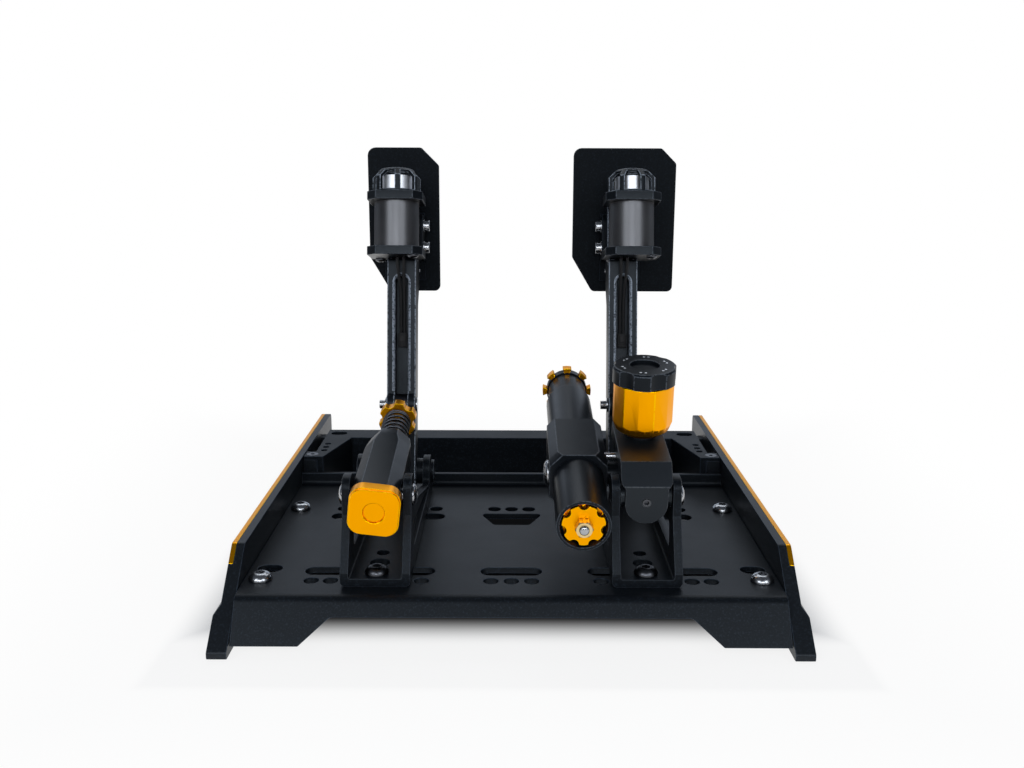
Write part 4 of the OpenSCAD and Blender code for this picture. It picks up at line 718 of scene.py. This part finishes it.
def coil_shape(count):
    """Tree of a compression spring along Z whose end turns lie closed, with count points along its wire."""
    s = Shape("coil_spring", "Wire", "Width", "Length", "Turns")
    wire, turns = s.size("Wire"), s.size("Turns")
    line = s.node("GeometryNodeCurvePrimitiveLine", None, {"Start": (0, 0, 0), "End": (0, 0, 1)})
    fine = s.node("GeometryNodeResampleCurve", {"mode": "COUNT"}, {"Curve": line, "Count": count})
    t = s.node("GeometryNodeSplineParameter", output="Factor")
    closed = 1.0 / turns
    rise = (t / closed).least(1.0) + ((t - 1.0 + closed) / closed).most(0.0)
    climb = ((t - closed) / (1.0 - 2.0 * closed)).most(0.0).least(1.0)
    angle = t * turns * math.tau
    r = (s.size("Width") - wire) * 0.5
    z = wire * 0.5 + rise * wire + climb * (s.size("Length") - 3.0 * wire)
    spot = s.place(r * angle.of("COSINE"), r * angle.of("SINE"), z)
    path = s.node("GeometryNodeSetPosition", None, {"Geometry": fine, "Position": spot})
    section = s.node("GeometryNodeCurvePrimitiveCircle", None, {
        "Resolution": WIRE_SIDES, "Radius": wire * 0.5})
    tube = s.node("GeometryNodeCurveToMesh", None, {
        "Curve": path, "Profile Curve": section, "Fill Caps": True})
    return s.close(tube)


def dot_shape(seed):
    """Tree of a small round pin on every point."""
    s = Shape("small_pin", "Width", "Height")
    pin = s.node("GeometryNodeMeshCylinder", {"fill_type": "NGON"}, {
        "Vertices": PIN_SIDES, "Side Segments": 1, "Radius": s.size("Width") * 0.5,
        "Depth": s.size("Height")})
    return s.close(s.on_points(pin, seed))


class PEDALS_OT_stage(bpy.types.Operator):
    """Camera, floor, lamps and surroundings"""

    bl_idname = "pedals.stage"
    bl_label = "Stage"

    # Each lamp's place, aim, width, height and power, in metres and watts
    lamps = {
        "left_box": ((-0.85, -1.25, 0.8), (0, -0.05, 0.1), 0.7, 0.9, 6.5),
        "right_box": ((0.85, -1.2, 0.8), (0, -0.05, 0.1), 0.7, 0.9, 6.0),
        "top_box": ((0.0, 0.95, 1.3), (0, 0.0, 0.1), 1.5, 0.8, 6.5),
        "front_box": ((0.0, -1.5, 0.66), (0, 0.0, 0.12), 0.8, 0.4, 6.5),
    }
    lamp_colour = (0.91, 0.95, 1.0)

    floor_half = 12.0
    floor_pale = (0.86, 0.86, 0.86)
    # Painted shadow: the floor's own tone under the set
    floor_painted_shadow = (0.02, 0.02, 0.021)
    # Distances out from the set's box between which the shade on the floor fades, and the wide one's share
    close_shade = (-0.01, 0.035)
    wide_shade = (0.0, 0.25)
    wide_share = 0.07
    # Distances out from the set's box between which the painted shadow under it gives way to the pale floor
    painted_shadow_fade = (-0.06, -0.01)
    # Distances in from the near edge between which the floor under the apron pales, and how far it does
    apron_shade = (0.06, 0.02)
    apron_share = 0.85
    # Places along Y between which the painted shadow pales behind the deck, and the floor fades for shiny
    # surfaces
    pale_behind = (0.065, 0.11)
    shine_near = (-1.3, -0.9)
    shine_far = (0.6, 1.1)

    # Heights and depths of a direction between which the surroundings fade, and their least strength
    fade_above = (0.3, 0.5)
    fade_below = (0.07, 0.19)
    fade_front = (0.0, 0.5)
    least_light = 0.1
    cool_light = (0.86, 0.96, 1.12)

    def execute(self, context):
        scene = context.scene
        scene.view_settings.view_transform = "Standard"
        make_finishes(scene.pedal_colours)
        self.camera(scene)
        self.floor()
        self.surroundings(scene)
        for name, (place, aim, width, height, power) in self.lamps.items():
            self.lamp(scene, name, Vector(place), Vector(aim), width, height, power)
        return {"FINISHED"}

    def camera(self, scene):
        data = bpy.data.cameras.new("photo_camera")
        data.sensor_width = 36.0
        data.lens = FOCAL_PIXELS / IMAGE_W * data.sensor_width
        data.clip_start = 0.05
        data.clip_end = 50.0
        camera = bpy.data.objects.new("photo_camera", data)
        level = math.radians(90)
        turn = Matrix.Rotation(level + CAMERA_PITCH, 4, "X") @ Matrix.Rotation(CAMERA_ROLL, 4, "Z")
        camera.matrix_world = Matrix.Translation(CAMERA_PLACE) @ turn
        scene.collection.objects.link(camera)
        scene.camera = camera

    def lamp(self, scene, name, place, aim, width, height, power):
        data = bpy.data.lights.new(name, "AREA")
        data.shape = "RECTANGLE"
        data.size = width
        data.size_y = height
        data.energy = power
        data.color = self.lamp_colour
        lamp = bpy.data.objects.new(name, data)
        turn = (aim - place).to_track_quat("-Z", "Y").to_matrix().to_4x4()
        lamp.matrix_world = Matrix.Translation(place) @ turn
        scene.collection.objects.link(lamp)

    def floor(self):
        """White apart from the shade close round the set, and a painted shadow, a dark floor tone, under it.
        """
        bm = bmesh.new()
        bmesh.ops.create_grid(bm, x_segments=2, y_segments=2, size=self.floor_half)
        floor = mesh_piece("floor", bm)
        f = Finish("white_floor")
        x, y, _ = f.parts(f.node("ShaderNodeTexCoord", output="Object"))
        half_x, half_y, _ = CAD_BOX[1]
        away = (x.of("ABSOLUTE") - half_x).most(y.of("ABSOLUTE") - half_y)
        under_apron = f.band(-1.0 * y, *(half_y - inside for inside in self.apron_shade)) * self.apron_share
        close = (1.0 - self.wide_share) * f.band(away, *self.close_shade)
        open_floor = (close + self.wide_share * f.band(away, *self.wide_shade)).most(under_apron)
        # Painted shadow: the floor's tone is dark under the set, apart from near its edges and behind the
        # deck
        below = f.band(away, *self.painted_shadow_fade).most(f.band(y, *self.pale_behind))
        in_set = f.band(y, *self.shine_near) * (1.0 - f.band(y, *self.shine_far))
        seen, shiny, through = f.rays()
        tone = f.mix(below, self.floor_painted_shadow, self.floor_pale)
        plain = f.node("ShaderNodeBsdfDiffuse", None, {"Color": tone})
        white = f.node("ShaderNodeEmission", None, {"Color": WHITE, "Strength": 1.0})
        share = (seen + (shiny + through) * in_set) * open_floor
        both = f.node("ShaderNodeMixShader", None, {0: share, 1: plain, 2: white})
        floor.data.materials.append(f.close(both))

    def surroundings(self, scene):
        """White behind the set, dim above it and behind the camera."""
        world = bpy.data.worlds.new("studio")
        world.use_nodes = True
        scene.world = world
        world.node_tree.nodes.clear()
        w = Nodes(world.node_tree)
        _, depth, height = w.parts(w.node("ShaderNodeTexCoord", output="Generated"))
        low = w.ramp(height, *self.fade_above, start=1.0, stop=0.0)
        rise = w.ramp(height, *self.fade_below, start=self.least_light)
        behind = w.ramp(depth, *self.fade_front)
        seen, shiny, through = w.rays()
        share = seen.most((shiny + through) * low * rise * behind)
        light = w.node("ShaderNodeBackground", None, {
            "Color": w.mix(seen, self.cool_light, WHITE), "Strength": share.most(self.least_light)})
        w.node("ShaderNodeOutputWorld", None, {"Surface": light})


class PEDALS_OT_leads(bpy.types.Operator):
    """Two strands from each motor to the plug in its arm's channel"""

    bl_idname = "pedals.leads"
    bl_label = "Motor leads"

    # Across, behind the arm's centre line and down from the motor seat, in mm
    route = ((2.2, -17, 0.05), (2.2, -17, 3), (2, -14.8, 8), (1.7, -9.5, 14.5), (1.4, -4, 22),
             (1.3, -0.8, 31), (1.3, 0.2, 42), (1.3, 0.3, 54))
    # The motor seat above the pivot, then the plug's three sizes, its setback, its top below the seat, its
    # eased edges and the heights of its ribs
    seat = 152.3
    plug = (6.4, 5.0, 10.0)
    plug_back = -0.05
    plug_top = 53.0
    plug_edge = 0.25
    rib_heights = (-4.0, -2.6)

    def execute(self, context):
        sizes = context.scene.pedal_sizes
        for name in SIDES:
            pivot = Vector(JOINTS[name + "_pedal_hinge"]["pos_m"])
            arm = lying(ALONG_ARM, pivot)
            node = name + "_motor_lead"
            for k, hand in ((-1, "left"), (1, "right")):
                self.strand(f"{name}_lead_{hand}", arm, k, sizes.lead, node)
            self.connector(name + "_lead_plug", arm, node)
        return {"FINISHED"}

    def strand(self, name, arm, k, width, node):
        """One strand, on the side of the channel that k says."""
        route = [arm @ (Vector((k * x, y, self.seat - down)) * MM) for x, y, down in self.route]
        points = self.smooth_route(route)
        curve = bpy.data.curves.new(name, "CURVE")
        curve.dimensions = "3D"
        curve.bevel_depth = width / 2
        curve.bevel_resolution = 4
        curve.use_fill_caps = True
        spline = curve.splines.new("POLY")
        spline.points.add(len(points) - 1)
        for point, place in zip(spline.points, points):
            point.co = (*place, 1.0)
        piece = bpy.data.objects.new(name, curve)
        bpy.context.scene.collection.objects.link(piece)
        mount_piece(piece, body_of(node), "soft_black", "soft_black", node)
        length = sum((b - a).length for a, b in zip(points, points[1:]))

    def smooth_route(self, route, steps=4):
        """Points along a smooth curve through the route."""
        points = []
        for i in range(len(route) - 1):
            a, b, c, d = (route[min(max(i + k, 0), len(route) - 1)] for k in (-1, 0, 1, 2))
            for step in range(steps):
                f = step / steps
                points.append(0.5 * (2 * b + f * (c - a) + f * f * (2 * a - 5 * b + 4 * c - d)
                                     + f ** 3 * (3 * b - a - 3 * c + d)))
        return points + [route[-1]]

    def connector(self, name, arm, node):
        """Plug housing with a stepped lid and grip ribs."""
        w, t, h = self.plug
        housing = ((0, 0, 0), (w, t, h))
        lid = ((0, -t / 2 - 0.2, 1.2), (w * 0.62, 1.0, h * 0.55))
        ribs = [((0, -t / 2, z), (w * 0.9, 0.9, 0.7)) for z in self.rib_heights]
        bm = bmesh.new()
        for middle, size in (housing, lid, *ribs):
            made = bmesh.ops.create_cube(bm, size=1.0)["verts"]
            bmesh.ops.scale(bm, vec=Vector(size) * MM, verts=made)
            bmesh.ops.translate(bm, vec=Vector(middle) * MM, verts=made)
        bmesh.ops.bevel(bm, geom=list(bm.edges), offset=self.plug_edge * MM, **EASING)
        place = Vector((0, self.plug_back, self.seat - self.plug_top - h / 2)) * MM
        bmesh.ops.transform(bm, matrix=arm @ Matrix.Translation(place), verts=bm.verts)
        mount_piece(mesh_piece(name, bm), body_of(node), "soft_black", "soft_black", node)


# Finishes that differ from a node's slot, by the end of the node's name
SPECIAL = {"eccentric_mass": "cast_steel", "motor_can": "black_can", "motor_cage": "arm_metal",
           "pedal_plate": "plate_coat", "plate_mount": "plate_coat", "front_crossbar": "bar_coat",
           "_arm": "arm_metal", "master_cylinder": "satin_metal", "_bracket": "bracket_coat",
           "motor_screws": "dark_steel", "side_plate": "side_coat"}


def finish_of(node):
    """Finish of a node: a special one by the end of its name, or its slot's own."""
    special = [finish for end, finish in SPECIAL.items() if node.endswith(end)]
    return special[0] if special else SLOTS[node]


class PEDALS_OT_solids(bpy.types.Operator):
    """Plates, housings, rods and knobs with their edges eased"""

    bl_idname = "pedals.solids"
    bl_label = "Solids"

    made_apart = ("throttle_spring", "throttle_end_knob", "brake_link_fittings", "brake_preload_stud")

    # Far wheel's disc: radii of its bore and of the roots of the teeth, how proud it stands, and its chamfer
    disc_bore_r = 5.4
    disc_root_r = 14.75
    disc_proud = 0.2
    disc_chamfer = 0.4
    # End knob's recess: its reach and depth, how deep the dish can be, and how much narrower its floor is
    recess_reach = 7.0
    recess_depth = 1.2
    dish_most = 2.0
    recess_draft = 0.92
    # Preload stud: the nut's half width, bore and ends, then the rod's radius, its domed end and its thread
    nut_flat_r = 4.6
    nut_bore_r = 2.9
    nut_ends = (2.0, 7.2)
    rod_r = 2.8
    dome = ((0, 0), (1.4, 0.12), (2.2, 0.45), (2.65, 0.9))
    thread_start = 1.3
    thread_step = 0.45
    thread_depth = 0.22
    thread_points = 14
    thread_end = 8.2
    # How far behind the master cylinder's front the set screw in it can reach
    set_screw_most = 10.0

    def execute(self, context):
        sizes = context.scene.pedal_sizes
        widths = {"black_coat": sizes.edge, "black_metal": sizes.edge, "amber_metal": sizes.edge,
                  "bright_steel": sizes.small_edge, "dark_steel": sizes.small_edge}
        rows = []
        for node in NODES:
            if node in SCREWS or SLOTS[node] == "soft_black" or node in self.made_apart:
                continue
            width = sizes.arm_edge if node.endswith("_arm") else widths[SLOTS[node]]
            rows.append((eased(node, width), node, finish_of(node)))
        knob = "throttle_end_knob"
        rows.append((eased(knob, sizes.edge, self.recess), knob, finish_of(knob)))
        links = "brake_link_fittings"
        rows.append((eased(links, sizes.small_edge, self.without_set_screw), links, "bright_steel"))
        rows.append((eased(links, sizes.small_edge, self.only_set_screw, "_set_screw"), links, "dark_steel"))
        settle([piece for piece, _, _ in rows])
        for piece, node, finish in rows:
            mount_piece(piece, body_of(node), finish, SLOTS[node], node)
        self.stud("brake_preload_stud")
        self.wheel_disc("brake_far_wheel")
        return {"FINISHED"}

    def near_end(self, node, joint):
        """Matrix at a turned node's near end, with Z along its axis, and the node's length in mm."""
        low, high = extents([v.co for v in NODES[node].data.vertices], ALONG_CYLINDER)
        flat = lying(ALONG_CYLINDER, (0, 0, 0))
        middle = flat.inverted() @ Vector(JOINTS[joint]["pos_m"])
        return lying(ALONG_CYLINDER, flat @ Vector((middle.x, middle.y, low.z))), (high.z - low.z) / MM

    def wheel_disc(self, node):
        """Black disc that fills the far wheel up to the roots of its teeth."""
        foot, thick = self.near_end(node, "brake_wheel_turn")
        bore, root, chamfer = self.disc_bore_r, self.disc_root_r, self.disc_chamfer
        near = -self.disc_proud
        far = thick - chamfer
        bm = turned([(bore, near), (root - chamfer, near), (root, near + chamfer), (root, far), (bore, far),
                     (bore, near)])
        bmesh.ops.transform(bm, matrix=foot, verts=bm.verts)
        mount_piece(mesh_piece(node + "_disc", bm), body_of(node), "black_metal", "black_metal", node)

    def recess(self, bm):
        """Turn the dish in the end knob's face into a flat recess with a steep wall."""
        turn = JOINTS["throttle_knob_turn"]
        into = lying(ALONG_CYLINDER, turn["pos_m"]).inverted()
        face = min((into @ v.co).z for v in bm.verts)
        reach = self.recess_reach * MM
        most = face + self.dish_most * MM
        dish = [f for f in bm.faces
                if all((into @ v.co).xy.length < reach and (into @ v.co).z < most for v in f.verts)]
        bmesh.ops.delete(bm, geom=dish, context="FACES")
        rim = [e for e in bm.edges if e.is_boundary]
        made = bmesh.ops.extrude_edge_only(bm, edges=rim)["geom"]
        for vert in made:
            if isinstance(vert, bmesh.types.BMVert):
                place = (into @ vert.co) * self.recess_draft
                place.z = face + self.recess_depth * MM
                vert.co = into.inverted() @ place
        bmesh.ops.holes_fill(bm, edges=[e for e in bm.edges if e.is_boundary], sides=0)
        bmesh.ops.recalc_face_normals(bm, faces=bm.faces)

    def without_set_screw(self, bm):
        limit = self.set_screw_reach()
        bmesh.ops.delete(bm, geom=[v for v in bm.verts if v.co.y < limit], context="VERTS")

    def only_set_screw(self, bm):
        limit = self.set_screw_reach()
        bmesh.ops.delete(bm, geom=[v for v in bm.verts if v.co.y >= limit], context="VERTS")

    def set_screw_reach(self):
        """How far back the screw in the master cylinder's front can reach."""
        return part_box("brake_master_cylinder")[0][1] + self.set_screw_most * MM

    def stud(self, node):
        """Domed stud and its chamfered nut in the middle of the preload knob."""
        foot, long = self.near_end(node, "brake_knob_turn")
        start, stop = self.nut_ends
        seat = foot @ Matrix.Translation(UP * start * MM)
        bm = bmesh.new()
        hexagon_nut(bm, seat, self.nut_flat_r, self.nut_bore_r, stop - start)
        mount_piece(mesh_piece(node + "_nut", bm), body_of(node), "warm_steel", SLOTS[node], node)
        profile = [*self.dome, (self.rod_r, self.thread_start)]
        for k in range(1, self.thread_points + 1):
            radius = self.rod_r - self.thread_depth * (k % 2)
            profile.append((radius, self.thread_start + self.thread_step * k))
        profile += [(self.rod_r, self.thread_end), (self.rod_r, long), (0, long)]
        bm = turned(profile)
        bmesh.ops.transform(bm, matrix=foot, verts=bm.verts)
        mount_piece(mesh_piece(node + "_rod", bm), body_of(node), "bright_steel", SLOTS[node], node)


def screw_table():
    """Screws of each node: the axis that a head points along and the screw."""
    m8 = dict(style="button", head=14, height=4.4, shank=8, socket=5)
    m4 = dict(style="button", head=7.6, height=2.2, shank=4, socket=2.5)
    flush = Screw(style="flush", head=9, height=2, shank=5, length=11, socket=3)
    bar = Screw(style="button", head=9.5, height=2.8, shank=5, length=13, socket=3)
    side_cap = Screw(style="cap", head=8.5, height=4.6, shank=5, length=20, socket=4)
    table = {"deck_bolts": [(UP, Screw(length=16, **m8))], "crossbar_screws": [(UP, flush), (-AWAY, bar)]}
    for name, side in SIDES.items():
        table[name + "_bracket_bolts"] = [(UP, Screw(length=18, **m8))]
        table[name + "_motor_screws"] = [
            (-ALONG_ARM, Screw(length=5.5, **m4)), (ALONG_ARM, Screw(length=10, **m4))]
        table[name + "_mount_screws"] = [(-side * ACROSS, side_cap), (AWAY, Screw(length=4.8, **m4))]
    return table


SCREWS = screw_table()


class PEDALS_OT_screws(bpy.types.Operator):
    """Screws and bolts with rounded heads and hexagon sockets"""

    bl_idname = "pedals.screws"
    bl_label = "Screws"

    # Nut under the deck: half its width across flats, its bore's radius, and the height that it stays under
    nut_flat_r = 6.4
    nut_bore_r = 4.1
    nut_most = 8.0

    def execute(self, context):
        seed = context.scene.pedal_sizes.turn_seed
        trees = {style: screw_shape(style, seed) for style in SCREW_RINGS}
        for node, rows in SCREWS.items():
            shells = islands(node)
            count = 0
            for i, (axis, screw) in enumerate(rows):
                seats = screw.seats(shells, axis)
                if not seats:
                    raise RuntimeError(f"{node} has no shell for its screw {i}")
                count += len(seats)
                piece = trees[screw.style].run(f"{node}_{i}", finish_of(node), screw.sizes, seats)
                mount_piece(piece, body_of(node), finish_of(node), SLOTS[node], node)
            if node.endswith("bracket_bolts"):
                self.nuts(node, shells)
            elif count != len(shells):
                raise RuntimeError(f"{node} has {len(shells)} shells and {count} screws")
        return {"FINISHED"}

    def nuts(self, node, shells):
        """Hexagon nuts with chamfered corners on the bolts under the deck."""
        bm = bmesh.new()
        for points in shells:
            low, high = extents(points, UP)
            tall = (high.z - low.z) / MM
            if tall > self.nut_most:
                continue
            middle = (low + high) / 2
            foot = Matrix.Translation((middle.x, middle.y, low.z))
            hexagon_nut(bm, foot, self.nut_flat_r, self.nut_bore_r, tall)
        mount_piece(mesh_piece(node + "_nuts", bm), body_of(node), SLOTS[node], SLOTS[node], node)


class PEDALS_OT_spring(bpy.types.Operator):
    """Coil spring between the throttle tube and the star nut"""

    bl_idname = "pedals.spring"
    bl_label = "Spring"

    # Ends of the spring along the tube, in mm from the trunnion
    near = 50.3
    far = 110.7
    points_per_turn = 40

    def execute(self, context):
        sizes = context.scene.pedal_sizes
        seat = TRUNNION + ALONG_CYLINDER * (self.near * MM)
        length = (self.far - self.near) * MM
        piece = coil_shape(sizes.turns * self.points_per_turn).run(
            "throttle_spring_coil", "dark_steel",
            {"Wire": sizes.wire, "Width": sizes.coil, "Length": length, "Turns": float(sizes.turns)},
            matrix=lying(ALONG_CYLINDER, seat))
        mount_piece(piece, body_of("throttle_spring"), "dark_steel", "dark_steel", "throttle_spring")
        travel = -JOINTS["throttle_rod_slide"]["range_m"][0]
        1 - travel / length
        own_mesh(piece)
        return {"FINISHED"}


class PEDALS_OT_rubber(bpy.types.Operator):
    """Foot pads, and the rubber discs inside the slave cylinder"""

    bl_idname = "pedals.rubber"
    bl_label = "Rubber"

    # Pads: stretches between the grooves of a sole, the grooves' width and depth in mm, and the least angle
    # of an edge that is eased
    soles = 9
    groove = 1.6
    groove_depth = 0.8
    eased_least = math.radians(60)
    # Stack: its ends along the slave cylinder, in mm from the trunnion, its discs and the cylinder's bore
    stack_near = -21.9
    stack_far = 6.1
    discs = 4
    bore_r = 12.0
    # Washers: their play in the bore, and where each starts and ends
    washer_play = 0.3
    washer = (0.02, 1.6)
    # Discs: their waist below the bore, their bulge, the gaps at both ends, and the points along a bulge
    waist = 2.2
    bulge = 1.3
    disc_gap = 0.1
    bulge_points = 7

    def execute(self, context):
        self.pads(context.scene.pedal_sizes.pad_edge)
        self.stack()
        return {"FINISHED"}

    def pads(self, edge):
        """Pads with round edges and cross grooves in their soles."""
        half, deep = self.groove / 2 * MM, self.groove_depth * MM
        bm = bmesh.new()
        for points in islands("foot_pads"):
            low, high = extents(points, UP)
            pitch = (high.y - low.y) / self.soles
            outline = [(low.y, high.z), (low.y, 0.0)]
            for i in range(1, self.soles):
                y = low.y + i * pitch
                outline += [(y - half, 0.0), (y - half, deep), (y + half, deep), (y + half, 0.0)]
            outline += [(high.y, 0.0), (high.y, high.z)]
            ends = [[bm.verts.new((x, y, z)) for y, z in outline] for x in (low.x, high.x)]
            n = len(outline)
            for i in range(n):
                bm.faces.new((ends[0][i], ends[0][(i + 1) % n], ends[1][(i + 1) % n], ends[1][i]))
            bm.faces.new(ends[0])
            bm.faces.new(ends[1])
        bmesh.ops.recalc_face_normals(bm, faces=bm.faces)
        outer = [e for e in bm.edges if is_outer(e, self.eased_least)]
        bmesh.ops.bevel(bm, geom=outer, offset=edge, **EASING)
        mount_piece(mesh_piece("foot_pads_moulded", bm), "base", "soft_black", "soft_black", "foot_pads")

    def stack(self):
        """Bulged rubber discs between thin washers, round the slave's axis."""
        node = "brake_elastomer_stack"
        foot = TRUNNION + ALONG_CYLINDER * (self.stack_near * MM)
        foot.x = JOINTS["brake_knob_turn"]["pos_m"][0]
        length = self.stack_far - self.stack_near
        each = length / self.discs
        start = self.washer[1] + self.disc_gap
        profile = [(0.0, 0.0)]
        for i in range(self.discs):
            profile += [(self.bore_r - self.washer_play, i * each + z) for z in self.washer]
            for k in range(self.bulge_points):
                f = k / (self.bulge_points - 1)
                out = self.bore_r - self.waist + self.bulge * math.sin(math.pi * f)
                profile.append((out, i * each + start + (each - start - self.disc_gap) * f))
        profile.append((0.0, length))
        bm = turned(profile)
        bmesh.ops.transform(bm, matrix=lying(ALONG_CYLINDER, foot), verts=bm.verts)
        piece = mesh_piece("brake_elastomer_discs", bm)
        mount_piece(piece, body_of(node), "soft_black", "soft_black", node)
        travel = -JOINTS["brake_piston_slide"]["range_m"][0]
        1 - travel / (length * MM)
        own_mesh(piece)


class PEDALS_OT_cap_pins(bpy.types.Operator):
    """Bright pins in the paired holes of the reservoir cap"""

    bl_idname = "pedals.cap_pins"
    bl_label = "Cap pins"

    # Pairs of pins, in degrees round the cap: the first pair's place and half of the angle between its pins
    pairs = 6
    first = 20
    half_pair = 6
    # Sizes in mm: radius of the ring of pins, a pin's width and height, and its middle below the cap's top.
    # A seed turns the pins
    ring_r = 14.2
    pin_width = 1.45
    pin_height = 1.7
    pin_sunk = 0.82
    turn_seed = 1

    def execute(self, context):
        turn = JOINTS["brake_cap_turn"]
        axis = Vector(turn["axis"])
        points = [v.co for v in NODES["brake_reservoir_cap"].data.vertices]
        _, high = extents(points, axis)
        flat = lying(axis, (0, 0, 0))
        middle = flat.inverted() @ Vector(turn["pos_m"])
        middle.z = high.z - self.pin_sunk * MM
        seats = []
        for i in range(self.pairs):
            for k in (-1, 1):
                a = math.radians(360 / self.pairs * i + self.first + self.half_pair * k)
                spot = middle + Vector((math.cos(a), math.sin(a), 0)) * (self.ring_r * MM)
                seats.append((flat @ spot, axis))
        sizes = {"Width": self.pin_width * MM, "Height": self.pin_height * MM}
        piece = dot_shape(self.turn_seed).run("brake_cap_pins", "cast_steel", sizes, seats)
        mount_piece(piece, "brake_cap", "cast_steel", "bright_steel")
        return {"FINISHED"}


class PEDALS_PT_panel(bpy.types.Panel):
    """Lists the steps and the values that they use"""

    bl_idname = "PEDALS_PT_panel"
    bl_label = "Pedal set"
    bl_space_type = "VIEW_3D"
    bl_region_type = "UI"
    bl_category = "Pedals"

    def draw(self, context):
        for step in STEPS:
            self.layout.operator(step.bl_idname)
        for group in (context.scene.pedal_sizes, context.scene.pedal_colours):
            for name in group.__annotations__:
                self.layout.prop(group, name)


STEPS = (PEDALS_OT_stage, PEDALS_OT_leads, PEDALS_OT_solids, PEDALS_OT_screws, PEDALS_OT_spring,
         PEDALS_OT_rubber, PEDALS_OT_cap_pins)
CLASSES = (PedalSizes, PedalColours, *STEPS, PEDALS_PT_panel)


def register():
    for cls in CLASSES:
        bpy.utils.register_class(cls)
    bpy.types.Scene.pedal_sizes = PointerProperty(type=PedalSizes)
    bpy.types.Scene.pedal_colours = PointerProperty(type=PedalColours)


def unregister():
    del bpy.types.Scene.pedal_colours
    del bpy.types.Scene.pedal_sizes
    for cls in reversed(CLASSES):
        bpy.utils.unregister_class(cls)


def main():
    register()
    for step in STEPS:
        area, name = step.bl_idname.split(".")
        getattr(getattr(bpy.ops, area), name)()


if __name__ == "__main__":
    main()
